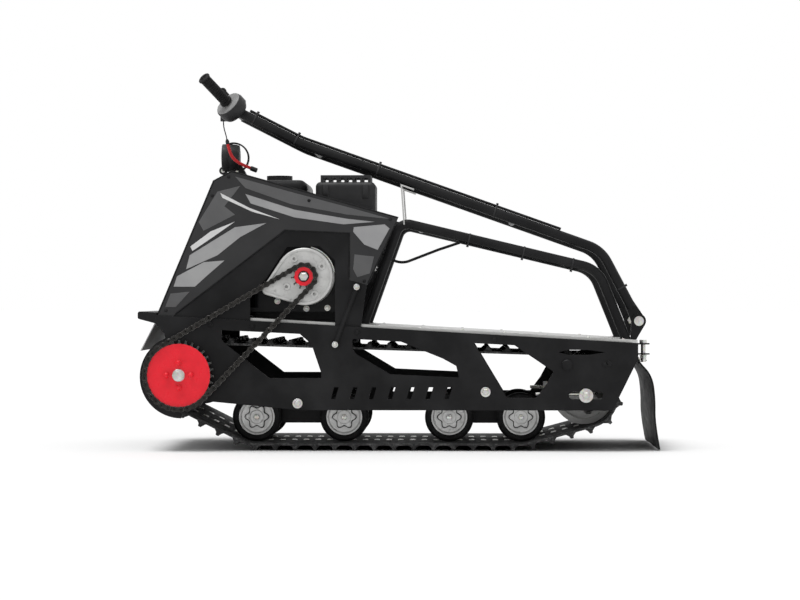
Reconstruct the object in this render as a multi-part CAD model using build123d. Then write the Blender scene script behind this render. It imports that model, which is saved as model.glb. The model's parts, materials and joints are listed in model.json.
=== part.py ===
from build123d import *
import math
import os

# A tracked snow tow: a motor at the front drives one wide belt, and a two-tube steering arm
# hinged at the rear lies folded forward over the machine.
# Millimetres. X runs from front to rear, Y from the left side to the right, Z up from the ground.
# The origin is on the ground, under the middle of the machine. Points are (x, z) unless said.

# Fits
SEAT = 0.3
PIN_FIT = 0.3
SIDE_PLAY = 1.0

# Track
TRACK_WIDTH = 500
BELT = 6
LUG_HEIGHT = 15
LUG_PITCH = 57
LUG_FOOT = 20
LUG_TIP = 9

# Wheels inside the track
DRIVE = (-627.7, 217.5)
IDLER = (531.4, 160)
WHEEL_RADIUS = 89
WHEEL_WIDTH = 36
WHEEL_Y = 120
WHEEL_RIM = 16
WHEEL_WEB = 12
ROLLER_RADIUS = 71
ROLLER_WIDTH = 45
ROLLER_Y = 135
ROLLER_XS = (-417.6, -163, 142, 349.6)
ROLLER_CHAMFER = 6
HUB_RADIUS = 52
HUB_DISH = 9
HUB_STEP = 4
HUB_LOBES = 6
HUB_LOBE_RADIUS = 9
HUB_LOBE_CIRCLE = 25
RETURN_X = 478
RETURN_RADIUS = 25
RETURN_TOP = 272
RETURN_Y = 60
RETURN_WIDTH = 40

# Shafts
DRIVE_SHAFT = 12.5
DRIVE_SHAFT_PROUD = 47
CROSS_SHAFT = 10
ROLLER_AXLE = 8
SHAFT_HEAD = 10
SHAFT_HEAD_DEPTH = 8
IDLER_WASHER = 20
BEARING_FLANGE = 46
BEARING_STEP = 6
BEARING_DEPTH = 18

# Track tensioners
TENSION_INSET = 10
TENSION_DROP = 4
TENSION_REACH = 94.4
TENSION_BLOCK = (14, 34)
TENSION_LAP = 8
TENSION_SCREW = 5
TENSION_TAIL = 48
TENSION_EYE = 9

# Bogies: pivot heights of the front and the rear pair
BOGIE_PIVOT_ZS = (137, 170)
BOGIE_BEAM = 8
BOGIE_BEAM_Y = 92
BOGIE_EYE = 20

# Side plates
PLATE = 4
PLATE_GAP = 21
FLANGE = 24
FRAME_FRONT = -696
FRAME_REAR = 680
FRAME_TOP_FRONT = 388.5
FRAME_TOP_REAR = 309.5
LOBE_RADIUS = 119
LOBE_OFFSET = (4, -5)
CHAIN_LOBE_RADIUS = 108
SLOT_COUNT = 7
SLOT_FIRST_X = -196
SLOT_SPACING = 54
SLOT_WIDTH = 13
SLOT_LOW = 149
SLOT_HIGH = 183
SLOT_LEAN = 10
IDLER_SLOT = 97
REAR_SLOT = (452, 589, 276, 290)
REAR_SLOT_POINTS = (30, 50)
NOTCH = ((-673, 337), (-668, 315))
BELLY = ((-552, 143), (-283, 117.4), (607, 117.4))
REAR_CORNER = (2, 261)
FRONT_WINDOW = (
    (-508, 346), (-284, 335), (-251, 306), (-223, 224), (-223, 209), (-371, 209), (-494, 304), (-508, 318),
)
MIDDLE_WINDOW = (
    (-134, 321), (5, 313), (124, 265), (162, 244), (170, 211), (-26, 220), (-123, 278), (-134, 292),
)
REAR_WINDOW = ((212, 309), (328, 303), (439, 228), (421, 195), (390, 153), (307, 153), (230, 281))

# Deck, cross members and front end
DECK = 8
DECK_FRONT_GAP = 56
DECK_OVERHANG = 4
DECK_SIDE_GAP = 16
DECK_CORNER = 55
CHANNEL_XS = (-560, -440, -140, 250)
CHANNEL_WIDTH = 40
CHANNEL_HEIGHT = 18
CHANNEL_WALL = 3
REAR_PANEL = 5
REAR_PANEL_BOTTOM = 258
BUMPER_LENGTH = 52.5
BUMPER_TIP = 21
BUMPER_ROOT = 32
BUMPER_ROUND = 6
DEFLECTOR = 3
DEFLECTOR_TIP = (-744, 286)
DEFLECTOR_SIDE_GAP = 39

# Hood
HOOD_SHEET = 2
HOOD_INSET = 5
HOOD_LIP = 14
HOOD_NOSE = (-531, 772.6)
HOOD_PEAK = (-479.5, 799.7)
HOOD_TAIL = (-3.6, 667)
HOOD_FOOT = (-92, 474.8)
HOOD_NOSE_END_X = -455
CUT_FRONT_X = -648
CUT_TOP_FRONT = (-327, 631.6)
CUT_TOP_REAR = (-142, 623)
CUT_REAR = (-143, 489)
GUARD = 3
GUARD_LAP = 9
GUARD_WINDOW = ((-156, -61), (-107, -2), (-51, 84), (42, 87), (87, 46))

# Engine, output shaft to the left
OUTPUT = (-270.9, 499)
ENGINE_RAISE = 17
ENGINE_FRONT = -425
ENGINE_REAR = -165
ENGINE_LEFT = -190
ENGINE_RIGHT = 150
ENGINE_SHOULDER = 600
COWL_TOP = 690
COWL_ROUND = 18
BLOCK_ROUND = 16
BLOCK_FOOT = 12
MOUNT_RAIL = 40
MOUNT_RAIL_YS = (-110, 90)
CASE_RADIUS = 82
CASE_POINT = (-376, 461)
CASE_POINT_RADIUS = 15
CASE_PROUD = 12
CASE_BOLT_CIRCLE = 58
CASE_BOLT_HOLE = 4
CASE_BOSS = 11
CASE_RIM = 9
CASE_RECESS = 3
CYLINDER_LEAN = 25
CYLINDER_Z = 540
CYLINDER_SIZE = 100
CYLINDER_LENGTH = 78
FIN_COUNT = 7
FIN = 3
FIN_PROUD = 12
RECOIL_RADIUS = 112
RECOIL_DEPTH = 70
RECOIL_SLOTS = 16
RECOIL_EDGE = 22
RECOIL_BAND = (32, 8)
PULL_BAR = (9, 54)
TANK = (-450, -273, 783)
TANK_LEFT = -130
TANK_RIGHT = 170
TANK_ROUND = 24
TANK_SEAM = 5
CAP_X = -363
CAP_RADIUS = 38
CAP_HEIGHT = 17
CAP_NOTCH = 4
CAP_NOTCHES = 12
FILTER = (-244, -71, 793)
FILTER_LEFT = -200
FILTER_RIGHT = -40
FILTER_ROUND = 14
FILTER_RIBS = 7
FILTER_RIB = 8
FILTER_RAIL = 20
CARB = (-150, -95, 640)
CARB_LEFT = -135
CARB_RIGHT = -90
MUFFLER = (-60, 596, 686)
MUFFLER_LEFT = 66
MUFFLER_RIGHT = 126
MUFFLER_ROUND = 16
MUFFLER_BAND = 6
MUFFLER_PROUD = 3

# Chain drive, on the left outside the plate
CHAIN_PITCH = 19.05
CHAIN_OFFSET = 25
CHAIN_GAP = 6.4
CHAIN_PLATE = 2.6
CHAIN_HEIGHT = 16
CHAIN_WAIST = 11
CHAIN_ROLLER = 5.8
TOOTH_FIT = 2
TOOTH_TIP = 3
SPROCKET = 10
DRIVE_TEETH = 32
OUTPUT_TEETH = 11
HUB_BOSS = 24
SPROCKET_BOLT_CIRCLE = 35
SPROCKET_BOLT = 5
OUTPUT_SHAFT = 11

# Hoop over the deck and brace
TUBE = 14
TUBE_Y = 145
HOOP_FRONT_X = -106
HOOP_TOP = (-1, 658.6)
HOOP_BEND = (573, 521)
HOOP_REAR_SETBACK = 26
HOOP_BENDS = (35, 85)
CROSSBAR = 11
BRACE = 6.5
BRACE_TOP = (-121, 469)
BRACE_FOOT = (-182.6, 305)

# Steering arm, folded forward
PIVOT_OVERHANG = 10.7
PIVOT_Z = 371
PIVOT_BOLT = 7
ARM_LUG = 12
ARM_EYE = 20
ARM_TUBE_START = 44
EAR = 5
EAR_RADIUS = 21
EAR_LENGTH = 15.5
ARM_BEND = (582, 577)
ARM_KNEE = (-292, 888)
BAR = 11
BAR_CENTRE = (-486, 987)
BAR_HALF_WIDTH = 160
GRIP_END = (-564, 235, 1071)
ARM_BENDS = (100, 250)
BAR_BEND = 40
ARM_BAR_XS = (330, -250)
GRIP = 16
GRIP_LENGTH = 108
GRIP_CAP = 18.5
GRIP_CAP_WIDTH = 6
GAUGE_RADIUS = 42
GAUGE_DEPTH = 28
GAUGE_LIP = 3
GAUGE_AXIS = (-0.68, 0.74)
REST_BAR = 4
REST_WIDTH = 30
REST_LEDGE = 46

# Rear end
HITCH_ZS = (304, 274)
HITCH_PLATE = 4
HITCH_WIDTH = 32
HITCH_REACH = 55
HITCH_PIN = 7
HITCH_PIN_REACH = 36
HITCH_PIN_TOP = 314
HITCH_PIN_BOTTOM = 248
FLAP = 5
FLAP_SIDE_GAP = 31
FLAP_TOP = 269.5
FLAP_CURVE = ((41, 216), (50, 150), (49, 79), (63.5, 4))

# Head light
LIGHT = (-500, 854)
LIGHT_RADIUS = 41
LIGHT_DEPTH = 34
LENS_DEPTH = 8
LIGHT_RIM = 14
LIGHT_CORE = 31
LIGHT_FINS = 3
LIGHT_FIN = 3
LIGHT_FOOT = 30

# Control cables, and the safety lanyard of the ignition switch: (x, y, z)
CABLE = 4
CABLE_SETBACKS = (70, 45)
THROTTLE_ROUTE = (
    (172, -145, 598.4), (110, -138, 578), (5, -118, 538), (-55, -112, 560), (-60, -112, 660), (-95, -112, 660),
)
THROTTLE_BENDS = (60, 60, 30, 15)
SWITCH_Y = -110
SWITCH_WIDTH = 22
SWITCH_LENGTH = 62
SWITCH_HEIGHT = 28
SWITCH_SETBACK = 18
SWITCH_BUTTON = 9
LANYARD = 1.6
LANYARD_DROP = 16
STRAP = 5
STRAP_ROUTE = ((-508, -112, 896), (-504, -112, 874), (-492, -112, 846), (-466, -112, 828), (-440, -112, 818))
CORD_EASE = 0.45
STRAP_CLIP = 7

# Values that follow
PLATE_IN = TRACK_WIDTH / 2 + PLATE_GAP
PLATE_OUT = PLATE_IN + PLATE
HOOD_Y = PLATE_OUT - HOOD_INSET
DECK_FRONT = FRAME_FRONT + DECK_FRONT_GAP
DECK_HALF_WIDTH = PLATE_IN - DECK_SIDE_GAP
DEFLECTOR_HALF_WIDTH = PLATE_IN - DEFLECTOR_SIDE_GAP
FLAP_HALF_WIDTH = PLATE_IN - FLAP_SIDE_GAP
CHAIN_Y = -(PLATE_OUT + CHAIN_OFFSET)
CASE_FACE = PLATE_OUT + CASE_PROUD
DRIVE_SHAFT_END = PLATE_OUT + DRIVE_SHAFT_PROUD
TOP_SLOPE = (FRAME_TOP_REAR - FRAME_TOP_FRONT) / (FRAME_REAR - FRAME_FRONT)
DECK_REAR = FRAME_REAR + DECK_OVERHANG
HOOP_REAR_X = FRAME_REAR - HOOP_REAR_SETBACK
PIVOT = (FRAME_REAR + PIVOT_OVERHANG, PIVOT_Z)
EAR_FOOT = (DECK_REAR - EAR_LENGTH - 0.5, DECK_REAR - 0.5)
HITCH_TIP = FRAME_REAR + HITCH_REACH
HITCH_PIN_X = FRAME_REAR + HITCH_PIN_REACH
ROLLER_Z = LUG_HEIGHT + BELT + ROLLER_RADIUS
BOGIE_XS = (sum(ROLLER_XS[:2]) / 2, sum(ROLLER_XS[2:]) / 2)
RETURN = (RETURN_X, RETURN_TOP - RETURN_RADIUS)
DRIVE_PITCH_RADIUS = CHAIN_PITCH / 2 / math.sin(math.pi / DRIVE_TEETH)
OUTPUT_PITCH_RADIUS = CHAIN_PITCH / 2 / math.sin(math.pi / OUTPUT_TEETH)


def frame_top(x):
    """Height of the side plates' sloping top edge."""
    return FRAME_TOP_FRONT + TOP_SLOPE * (x - FRAME_FRONT)


def deck_top(x):
    return frame_top(x) + DECK


def outline(points):
    return Polygon(*points, align=None)


def disc(centre, radius):
    return Pos(*centre) * Circle(radius)


def across(sketch, y_low, y_high):
    """Solid of an XZ outline between two Y planes."""
    return extrude(Plane.XZ.offset(-y_high) * sketch, y_high - y_low, dir=(0, -1, 0))


def shaft(centre, radius, y_low, y_high):
    return across(disc(centre, radius), y_low, y_high)


def turned(profile, centre, y=0):
    """Solid of revolution about a crosswise axis, from (radius, y) points."""
    return Pos(centre[0], y, centre[1]) * revolve(outline(profile), Axis.Y)


def pipe(points, radius, bends):
    path = FilletPolyline(*points, radius=bends)
    return sweep(Plane(origin=path @ 0, z_dir=path % 0) * Circle(radius), path=path)


def eased(points):
    points = [Vector(*point) for point in points]
    bends = []
    for before, corner, after in zip(points, points[1:], points[2:]):
        shorter = min((corner - before).length, (after - corner).length)
        turn = (corner - before).get_angle(after - corner)
        bends.append(CORD_EASE * shorter / math.tan(math.radians(turn / 2)))
    return bends


def rod(start, end, radius):
    start, end = Vector(start), Vector(end)
    return extrude(Plane(origin=start, z_dir=end - start) * Circle(radius), (end - start).length)


def mirrored(part):
    return mirror(part, about=Plane.XZ)


def group(*parts):
    """One node of several solids that don't touch."""
    return Compound([solid for part in parts for solid in part.solids()])


def pair(part):
    return group(part, mirrored(part))


def unit(start, end):
    length = math.dist(start, end)
    return (end[0] - start[0]) / length, (end[1] - start[1]) / length


def beside(point, direction, along, aside):
    """Point some way along a direction and aside to its left."""
    return (
        point[0] + along * direction[0] - aside * direction[1],
        point[1] + along * direction[1] + aside * direction[0],
    )


def strip(points, thickness):
    """Outline of a bent sheet: a polyline and its mitred offset to the left of its run."""
    runs = [unit(a, b) for a, b in zip(points, points[1:])]
    far_side = [beside(points[0], runs[0], 0, thickness)]
    for point, before, after in zip(points[1:-1], runs, runs[1:]):
        cosine = before[0] * after[0] + before[1] * after[1]
        sine = before[0] * after[1] - before[1] * after[0]
        far_side.append(beside(point, before, -thickness * sine / (1 + cosine), thickness))
    far_side.append(beside(points[-1], runs[-1], 0, thickness))
    return outline([*points, *reversed(far_side)])


def tangents(wheels, grow):
    """Straight runs of a belt round (centre, radius) wheels, listed against the clock."""
    runs = []
    for (a, a_radius), (b, b_radius) in zip(wheels, wheels[1:] + wheels[:1]):
        direction = unit(a, b)
        sine = (a_radius - b_radius) / math.dist(a, b)
        cosine = math.sqrt(1 - sine * sine)
        out = (direction[1] * cosine + direction[0] * sine, -direction[0] * cosine + direction[1] * sine)
        runs.append(
            tuple((c[0] + out[0] * (r + grow), c[1] + out[1] * (r + grow)) for c, r in ((a, a_radius), (b, b_radius)))
        )
    return runs


def belt_path(wheels, grow=0):
    """Closed line of a belt round wheels, as tangent runs and arcs."""
    runs = tangents(wheels, grow)
    edges = []
    for index, (start, end) in enumerate(runs):
        edges.append(Line(start, end))
        centre, radius = wheels[(index + 1) % len(wheels)]
        leave = runs[(index + 1) % len(runs)][0]
        if math.dist(end, leave) > 0.01:
            first = math.atan2(end[1] - centre[1], end[0] - centre[0])
            turn = (math.atan2(leave[1] - centre[1], leave[0] - centre[0]) - first) % math.tau
            reach = radius + grow
            middle = (centre[0] + reach * math.cos(first + turn / 2), centre[1] + reach * math.sin(first + turn / 2))
            edges.append(ThreePointArc(end, middle, leave))
    return Wire(edges)


def along(wire, length):
    """Point and outward normal of a closed line that runs against the clock."""
    share = (length / wire.length) % 1
    point, direction = wire @ share, wire % share
    return (point.X, point.Y), (direction.Y, -direction.X)


def off(point, normal, distance):
    return point[0] + normal[0] * distance, point[1] + normal[1] * distance


# Side plates, with windows cut
def plate_outline():
    lobe_centre = (DRIVE[0] + LOBE_OFFSET[0], DRIVE[1] + LOBE_OFFSET[1])
    front_half = Pos(lobe_centre[0] - LOBE_RADIUS / 2, lobe_centre[1]) * Rectangle(LOBE_RADIUS, 2 * LOBE_RADIUS)
    body = outline([
        (FRAME_FRONT, frame_top(FRAME_FRONT)), (FRAME_FRONT, frame_top(FRAME_FRONT) - BUMPER_ROOT + DECK),
        *NOTCH, DRIVE, *BELLY, (FRAME_REAR - REAR_CORNER[0], REAR_CORNER[1]), (FRAME_REAR, frame_top(FRAME_REAR)),
    ])
    body += disc(lobe_centre, LOBE_RADIUS) & front_half
    body += disc(DRIVE, CHAIN_LOBE_RADIUS)
    for window in (FRONT_WINDOW, MIDDLE_WINDOW, REAR_WINDOW):
        body -= outline(window)
    front, rear, low, high = REAR_SLOT
    middle = (low + high) / 2
    front_point, rear_point = REAR_SLOT_POINTS
    body -= outline([
        (front, middle), (front + front_point, high), (rear - rear_point, high),
        (rear, middle), (rear - rear_point, low), (front + front_point, low),
    ])
    for index in range(SLOT_COUNT):
        x = SLOT_FIRST_X + index * SLOT_SPACING
        body -= outline([
            (x, SLOT_LOW), (x + SLOT_WIDTH, SLOT_LOW),
            (x + SLOT_WIDTH + SLOT_LEAN, SLOT_HIGH), (x + SLOT_LEAN, SLOT_HIGH),
        ])
    body -= disc(DRIVE, DRIVE_SHAFT + PIN_FIT)
    body -= disc(RETURN, CROSS_SHAFT + PIN_FIT)
    body -= Pos(*IDLER) * SlotOverall(IDLER_SLOT, 2 * (CROSS_SHAFT + PIN_FIT))
    for x, z in zip(BOGIE_XS, BOGIE_PIVOT_ZS):
        body -= disc((x, z), CROSS_SHAFT + PIN_FIT)
    return body


def top_band(x_low, x_high, low, high):
    """Sloping band between two heights over the plates' top edge."""
    return outline([
        (x_low, frame_top(x_low) + low), (x_high, frame_top(x_high) + low),
        (x_high, frame_top(x_high) + high), (x_low, frame_top(x_low) + high),
    ])


side_plate = across(plate_outline(), PLATE_IN, PLATE_OUT)
frame_rail = across(top_band(FRAME_FRONT, FRAME_REAR, -PLATE, 0), PLATE_IN - FLANGE, PLATE_IN)


# Cross members: channels under the deck, and the panel across the rear
def channel(x):
    wide = top_band(x, x + CHANNEL_WIDTH, -PLATE - CHANNEL_HEIGHT, -PLATE)
    hollow = top_band(
        x + CHANNEL_WALL, x + CHANNEL_WIDTH - CHANNEL_WALL, -PLATE - CHANNEL_HEIGHT, -PLATE - CHANNEL_WALL
    )
    return across(wide - hollow, -PLATE_IN, PLATE_IN)


rear_panel = across(
    outline([
        (FRAME_REAR - REAR_PANEL, REAR_PANEL_BOTTOM), (FRAME_REAR, REAR_PANEL_BOTTOM),
        (FRAME_REAR, frame_top(FRAME_REAR) - PLATE),
        (FRAME_REAR - REAR_PANEL, frame_top(FRAME_REAR - REAR_PANEL) - PLATE),
    ]),
    -PLATE_IN, PLATE_IN,
)
cross_members = group(*[channel(x) for x in CHANNEL_XS], rear_panel)

deck_plate = across(top_band(DECK_FRONT, DECK_REAR, 0, DECK), -DECK_HALF_WIDTH, DECK_HALF_WIDTH)
deck_plate = fillet(deck_plate.edges().filter_by(Axis.Z).group_by(Axis.X)[-1], DECK_CORNER)

# Front end
BUMPER_TIP_X = FRAME_FRONT - BUMPER_LENGTH
BUMPER_ROOT_Z = deck_top(FRAME_FRONT) - BUMPER_ROOT
BUMPER_TIP_Z = deck_top(BUMPER_TIP_X) - BUMPER_TIP
front_bumper = across(
    outline([
        (FRAME_FRONT, deck_top(FRAME_FRONT)), (BUMPER_TIP_X, deck_top(BUMPER_TIP_X)),
        (BUMPER_TIP_X, BUMPER_TIP_Z), (FRAME_FRONT, BUMPER_ROOT_Z),
    ]),
    -PLATE_OUT, PLATE_OUT,
)
front_bumper = fillet(front_bumper.edges().filter_by(Axis.Y).group_by(Axis.X)[0], BUMPER_ROUND)


def bumper_under(x):
    share = (x - BUMPER_TIP_X) / BUMPER_LENGTH
    return BUMPER_TIP_Z + share * (BUMPER_ROOT_Z - BUMPER_TIP_Z)


DEFLECTOR_ROOT_X = FRAME_FRONT - 6
front_deflector = across(
    outline([
        (DEFLECTOR_ROOT_X, bumper_under(DEFLECTOR_ROOT_X)),
        (DEFLECTOR_ROOT_X - DEFLECTOR, bumper_under(DEFLECTOR_ROOT_X - DEFLECTOR)),
        (DEFLECTOR_TIP[0] - DEFLECTOR, DEFLECTOR_TIP[1]), DEFLECTOR_TIP,
    ]),
    -DEFLECTOR_HALF_WIDTH, DEFLECTOR_HALF_WIDTH,
)

# Hood: two side panels, the bent nose sheet between them, and a guard plate inside each cut-out
HOOD_FRONT_X = FRAME_FRONT + 4
HOOD_IN = HOOD_Y - HOOD_SHEET
hood_panel = across(
    outline([
        (HOOD_FRONT_X, frame_top(HOOD_FRONT_X)), HOOD_NOSE, HOOD_PEAK, HOOD_TAIL, HOOD_FOOT, CUT_REAR,
        CUT_TOP_REAR, CUT_TOP_FRONT, (CUT_FRONT_X, frame_top(CUT_FRONT_X)),
    ]),
    HOOD_IN, HOOD_Y,
)
peak_run = unit(HOOD_PEAK, HOOD_TAIL)


def hood_lip(start, end):
    """Edge of the panel turned in, on the right hand from start to end."""
    run = unit(start, end)
    inward = (run[1], -run[0])
    return across(
        outline([start, end, off(end, inward, HOOD_SHEET), off(start, inward, HOOD_SHEET)]), HOOD_Y - HOOD_LIP, HOOD_IN
    )


nose_end = (HOOD_NOSE_END_X, HOOD_PEAK[1] + (HOOD_NOSE_END_X - HOOD_PEAK[0]) * peak_run[1] / peak_run[0])
nose_foot = (HOOD_FRONT_X, deck_top(HOOD_FRONT_X))
hood_nose = across(strip([nose_end, HOOD_PEAK, HOOD_NOSE, nose_foot], HOOD_SHEET), -HOOD_IN, HOOD_IN)
hood_panel += hood_lip(off(nose_end, peak_run, SIDE_PLAY), HOOD_TAIL)
hood_panel += hood_lip(HOOD_TAIL, HOOD_FOOT)

guard_rear_x = HOOD_FOOT[0] - 18
guard_window = [(OUTPUT[0] + x, OUTPUT[1] + z) for x, z in GUARD_WINDOW]
window_front_x = guard_window[0][0]
window_rear_x = guard_window[-1][0]
guard_plate = across(
    outline([
        (CUT_FRONT_X - GUARD_LAP, frame_top(CUT_FRONT_X - GUARD_LAP)),
        (CUT_TOP_FRONT[0] - GUARD_LAP, CUT_TOP_FRONT[1] + GUARD_LAP),
        (CUT_TOP_REAR[0] + GUARD_LAP, CUT_TOP_REAR[1] + GUARD_LAP),
        (CUT_REAR[0] + GUARD_LAP, CUT_REAR[1] + GUARD_LAP),
        (HOOD_FOOT[0], HOOD_FOOT[1] + GUARD_LAP),
        (guard_rear_x, frame_top(guard_rear_x)),
    ])
    - outline([
        (window_front_x, frame_top(window_front_x)), *guard_window, (window_rear_x, frame_top(window_rear_x)),
    ]),
    HOOD_IN - GUARD, HOOD_IN,
)

# Engine
ENGINE_BASE = deck_top(ENGINE_FRONT) + ENGINE_RAISE
engine_block = across(
    outline([
        (ENGINE_FRONT, ENGINE_BASE), (ENGINE_REAR, ENGINE_BASE), (ENGINE_REAR, ENGINE_SHOULDER),
        (ENGINE_FRONT + 30, ENGINE_SHOULDER), (ENGINE_FRONT, ENGINE_SHOULDER - 40),
    ]),
    ENGINE_LEFT, ENGINE_RIGHT,
)
engine_block = fillet(engine_block.edges().filter_by(Axis.Z), BLOCK_ROUND)
engine_block += across(
    outline([
        (ENGINE_FRONT - BLOCK_FOOT, ENGINE_BASE), (ENGINE_REAR + BLOCK_FOOT, ENGINE_BASE),
        (ENGINE_REAR + BLOCK_FOOT, ENGINE_BASE + BLOCK_FOOT), (ENGINE_FRONT - BLOCK_FOOT, ENGINE_BASE + BLOCK_FOOT),
    ]),
    ENGINE_LEFT, ENGINE_RIGHT,
)
engine_cowl = across(
    outline([
        (ENGINE_FRONT + 30, ENGINE_SHOULDER), (ENGINE_REAR, ENGINE_SHOULDER),
        (ENGINE_REAR, COWL_TOP), (ENGINE_FRONT, COWL_TOP), (ENGINE_FRONT, ENGINE_SHOULDER + 30),
    ]),
    TANK_LEFT, ENGINE_RIGHT,
)
engine_cowl = fillet(engine_cowl.edges().filter_by(Axis.Z), COWL_ROUND)
engine_mount = group(*[
    across(
        outline([
            (ENGINE_FRONT, deck_top(ENGINE_FRONT)), (ENGINE_REAR, deck_top(ENGINE_REAR)),
            (ENGINE_REAR, ENGINE_BASE), (ENGINE_FRONT, ENGINE_BASE),
        ]),
        y - MOUNT_RAIL / 2, y + MOUNT_RAIL / 2,
    )
    for y in MOUNT_RAIL_YS
])


def ring_of_discs(centre, circle, hole, count, first_angle):
    return [
        disc(off(centre, (math.cos(angle), math.sin(angle)), circle), hole)
        for angle in (math.radians(first_angle + 360 / count * index) for index in range(count))
    ]


case_outline = make_hull(disc(OUTPUT, CASE_RADIUS).edges() + disc(CASE_POINT, CASE_POINT_RADIUS).edges())
gear_case = across(case_outline, -CASE_FACE, ENGINE_LEFT)
gear_case = fillet(gear_case.faces().sort_by(Axis.Y)[0].edges(), CASE_RIM / 2)
case_floor = make_hull(
    disc(OUTPUT, CASE_RADIUS - CASE_RIM).edges() + disc(CASE_POINT, CASE_POINT_RADIUS - CASE_RIM).edges()
)
case_floor -= disc(OUTPUT, HUB_BOSS)
for boss in ring_of_discs(OUTPUT, CASE_BOLT_CIRCLE, CASE_BOSS, 4, 30):
    case_floor -= boss
gear_case -= across(case_floor, -CASE_FACE, -CASE_FACE + CASE_RECESS)
for hole in ring_of_discs(OUTPUT, CASE_BOLT_CIRCLE, CASE_BOLT_HOLE, 4, 30):
    gear_case -= across(hole, -CASE_FACE, -CASE_FACE + CASE_PROUD)


def cylinder_fins():
    """Finned barrel and head, leaning to the rear out of the crankcase."""
    seat = Plane(origin=(ENGINE_REAR, 0, CYLINDER_Z), x_dir=(0, 1, 0), z_dir=(1, 0, 0)).rotated((0, -CYLINDER_LEAN, 0))
    root = CYLINDER_SIZE / 2
    core = extrude(seat.offset(-root) * Rectangle(CYLINDER_SIZE, CYLINDER_SIZE), CYLINDER_LENGTH + root)
    spacing = CYLINDER_LENGTH / (FIN_COUNT + 1)
    for index in range(FIN_COUNT):
        level = seat.offset(spacing * (index + 1))
        core += extrude(level * RectangleRounded(CYLINDER_SIZE + 2 * FIN_PROUD, CYLINDER_SIZE + FIN_PROUD, 10), FIN)
    reach = 2 * CYLINDER_SIZE
    behind = across(Pos(ENGINE_REAR - reach / 2, CYLINDER_Z) * Rectangle(reach, 2 * reach), -reach, reach)
    return core - behind


engine_cylinder = cylinder_fins()

recoil_centre = OUTPUT
recoil_housing = turned(
    [
        (0, 0), (RECOIL_RADIUS, 0), (RECOIL_RADIUS, RECOIL_DEPTH - RECOIL_EDGE),
        (RECOIL_RADIUS - RECOIL_EDGE, RECOIL_DEPTH), (0, RECOIL_DEPTH),
    ],
    recoil_centre, ENGINE_RIGHT,
)
recoil_slot = Pos(*off(recoil_centre, (1, 0), RECOIL_RADIUS * 0.6)) * Rectangle(*RECOIL_BAND)
for index in range(RECOIL_SLOTS):
    turn = Pos(*recoil_centre) * Rot(0, 0, 360 / RECOIL_SLOTS * index) * Pos(-recoil_centre[0], -recoil_centre[1])
    recoil_housing -= across(turn * recoil_slot, ENGINE_RIGHT + RECOIL_DEPTH - RECOIL_BAND[1], ENGINE_RIGHT + RECOIL_DEPTH)
pull_x, pull_z = off(recoil_centre, unit(recoil_centre, HOOD_NOSE), RECOIL_RADIUS - RECOIL_EDGE)
pull_y = ENGINE_RIGHT + RECOIL_DEPTH + PULL_BAR[0] - CASE_RECESS
recoil_housing += rod((pull_x, pull_y, pull_z - PULL_BAR[1] / 2), (pull_x, pull_y, pull_z + PULL_BAR[1] / 2), PULL_BAR[0])


def rounded_block(x_low, x_high, y_low, y_high, z_low, z_high, radius):
    block = Pos((x_low + x_high) / 2, (y_low + y_high) / 2, (z_low + z_high) / 2) * Box(
        x_high - x_low, y_high - y_low, z_high - z_low
    )
    return fillet(block.edges().filter_by(Axis.Z) + block.faces().sort_by(Axis.Z)[-1].edges(), radius)


fuel_tank = rounded_block(TANK[0], TANK[1], TANK_LEFT, TANK_RIGHT, COWL_TOP, TANK[2], TANK_ROUND)
tank_middle = Pos((TANK[0] + TANK[1]) / 2, (TANK_LEFT + TANK_RIGHT) / 2, (COWL_TOP + TANK[2] - TANK_SEAM) / 2)
fuel_tank += tank_middle * extrude(
    RectangleRounded(TANK[1] - TANK[0] + 2 * TANK_SEAM, TANK_RIGHT - TANK_LEFT + 2 * TANK_SEAM, TANK_ROUND), TANK_SEAM
)
cap_outline = Circle(CAP_RADIUS)
for notch in ring_of_discs((0, 0), CAP_RADIUS + CAP_NOTCH / 2, CAP_NOTCH, CAP_NOTCHES, 0):
    cap_outline -= notch
fuel_cap = Pos(CAP_X, 0, TANK[2]) * extrude(cap_outline, CAP_HEIGHT)
filter_top = FILTER[2] - FILTER_RAIL
air_filter = rounded_block(FILTER[0], FILTER[1], FILTER_LEFT, FILTER_RIGHT, COWL_TOP, filter_top, FILTER_ROUND)
rib_gap = (FILTER[1] - FILTER[0] - 2 * FILTER_ROUND - FILTER_RIB) / (FILTER_RIBS - 1)
filter_middle_y = (FILTER_LEFT + FILTER_RIGHT) / 2
filter_depth = FILTER_RIGHT - FILTER_LEFT - 2 * FILTER_ROUND
for index in range(FILTER_RIBS):
    rib_x = FILTER[0] + FILTER_ROUND + FILTER_RIB / 2 + index * rib_gap
    air_filter += Pos(rib_x, filter_middle_y, filter_top + FILTER_RAIL / 2) * Box(FILTER_RIB, filter_depth, FILTER_RAIL)
filter_rail_x = (FILTER[0] + FILTER[1]) / 2
rail_length = FILTER[1] - FILTER[0] - 2 * FILTER_ROUND
for side in (FILTER_LEFT + FILTER_ROUND + 5, FILTER_RIGHT - FILTER_ROUND - 5):
    air_filter += Pos(filter_rail_x, side, FILTER[2] - FILTER_RIB / 2) * Box(rail_length, 10, FILTER_RIB)
carburettor = Pos((CARB[0] + CARB[1]) / 2, (CARB_LEFT + CARB_RIGHT) / 2, (CARB[2] + COWL_TOP) / 2) * Box(
    CARB[1] - CARB[0], CARB_RIGHT - CARB_LEFT, COWL_TOP - CARB[2]
)
muffler = rounded_block(ENGINE_REAR, MUFFLER[0], MUFFLER_LEFT, MUFFLER_RIGHT, MUFFLER[1], MUFFLER[2], MUFFLER_ROUND)
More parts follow.
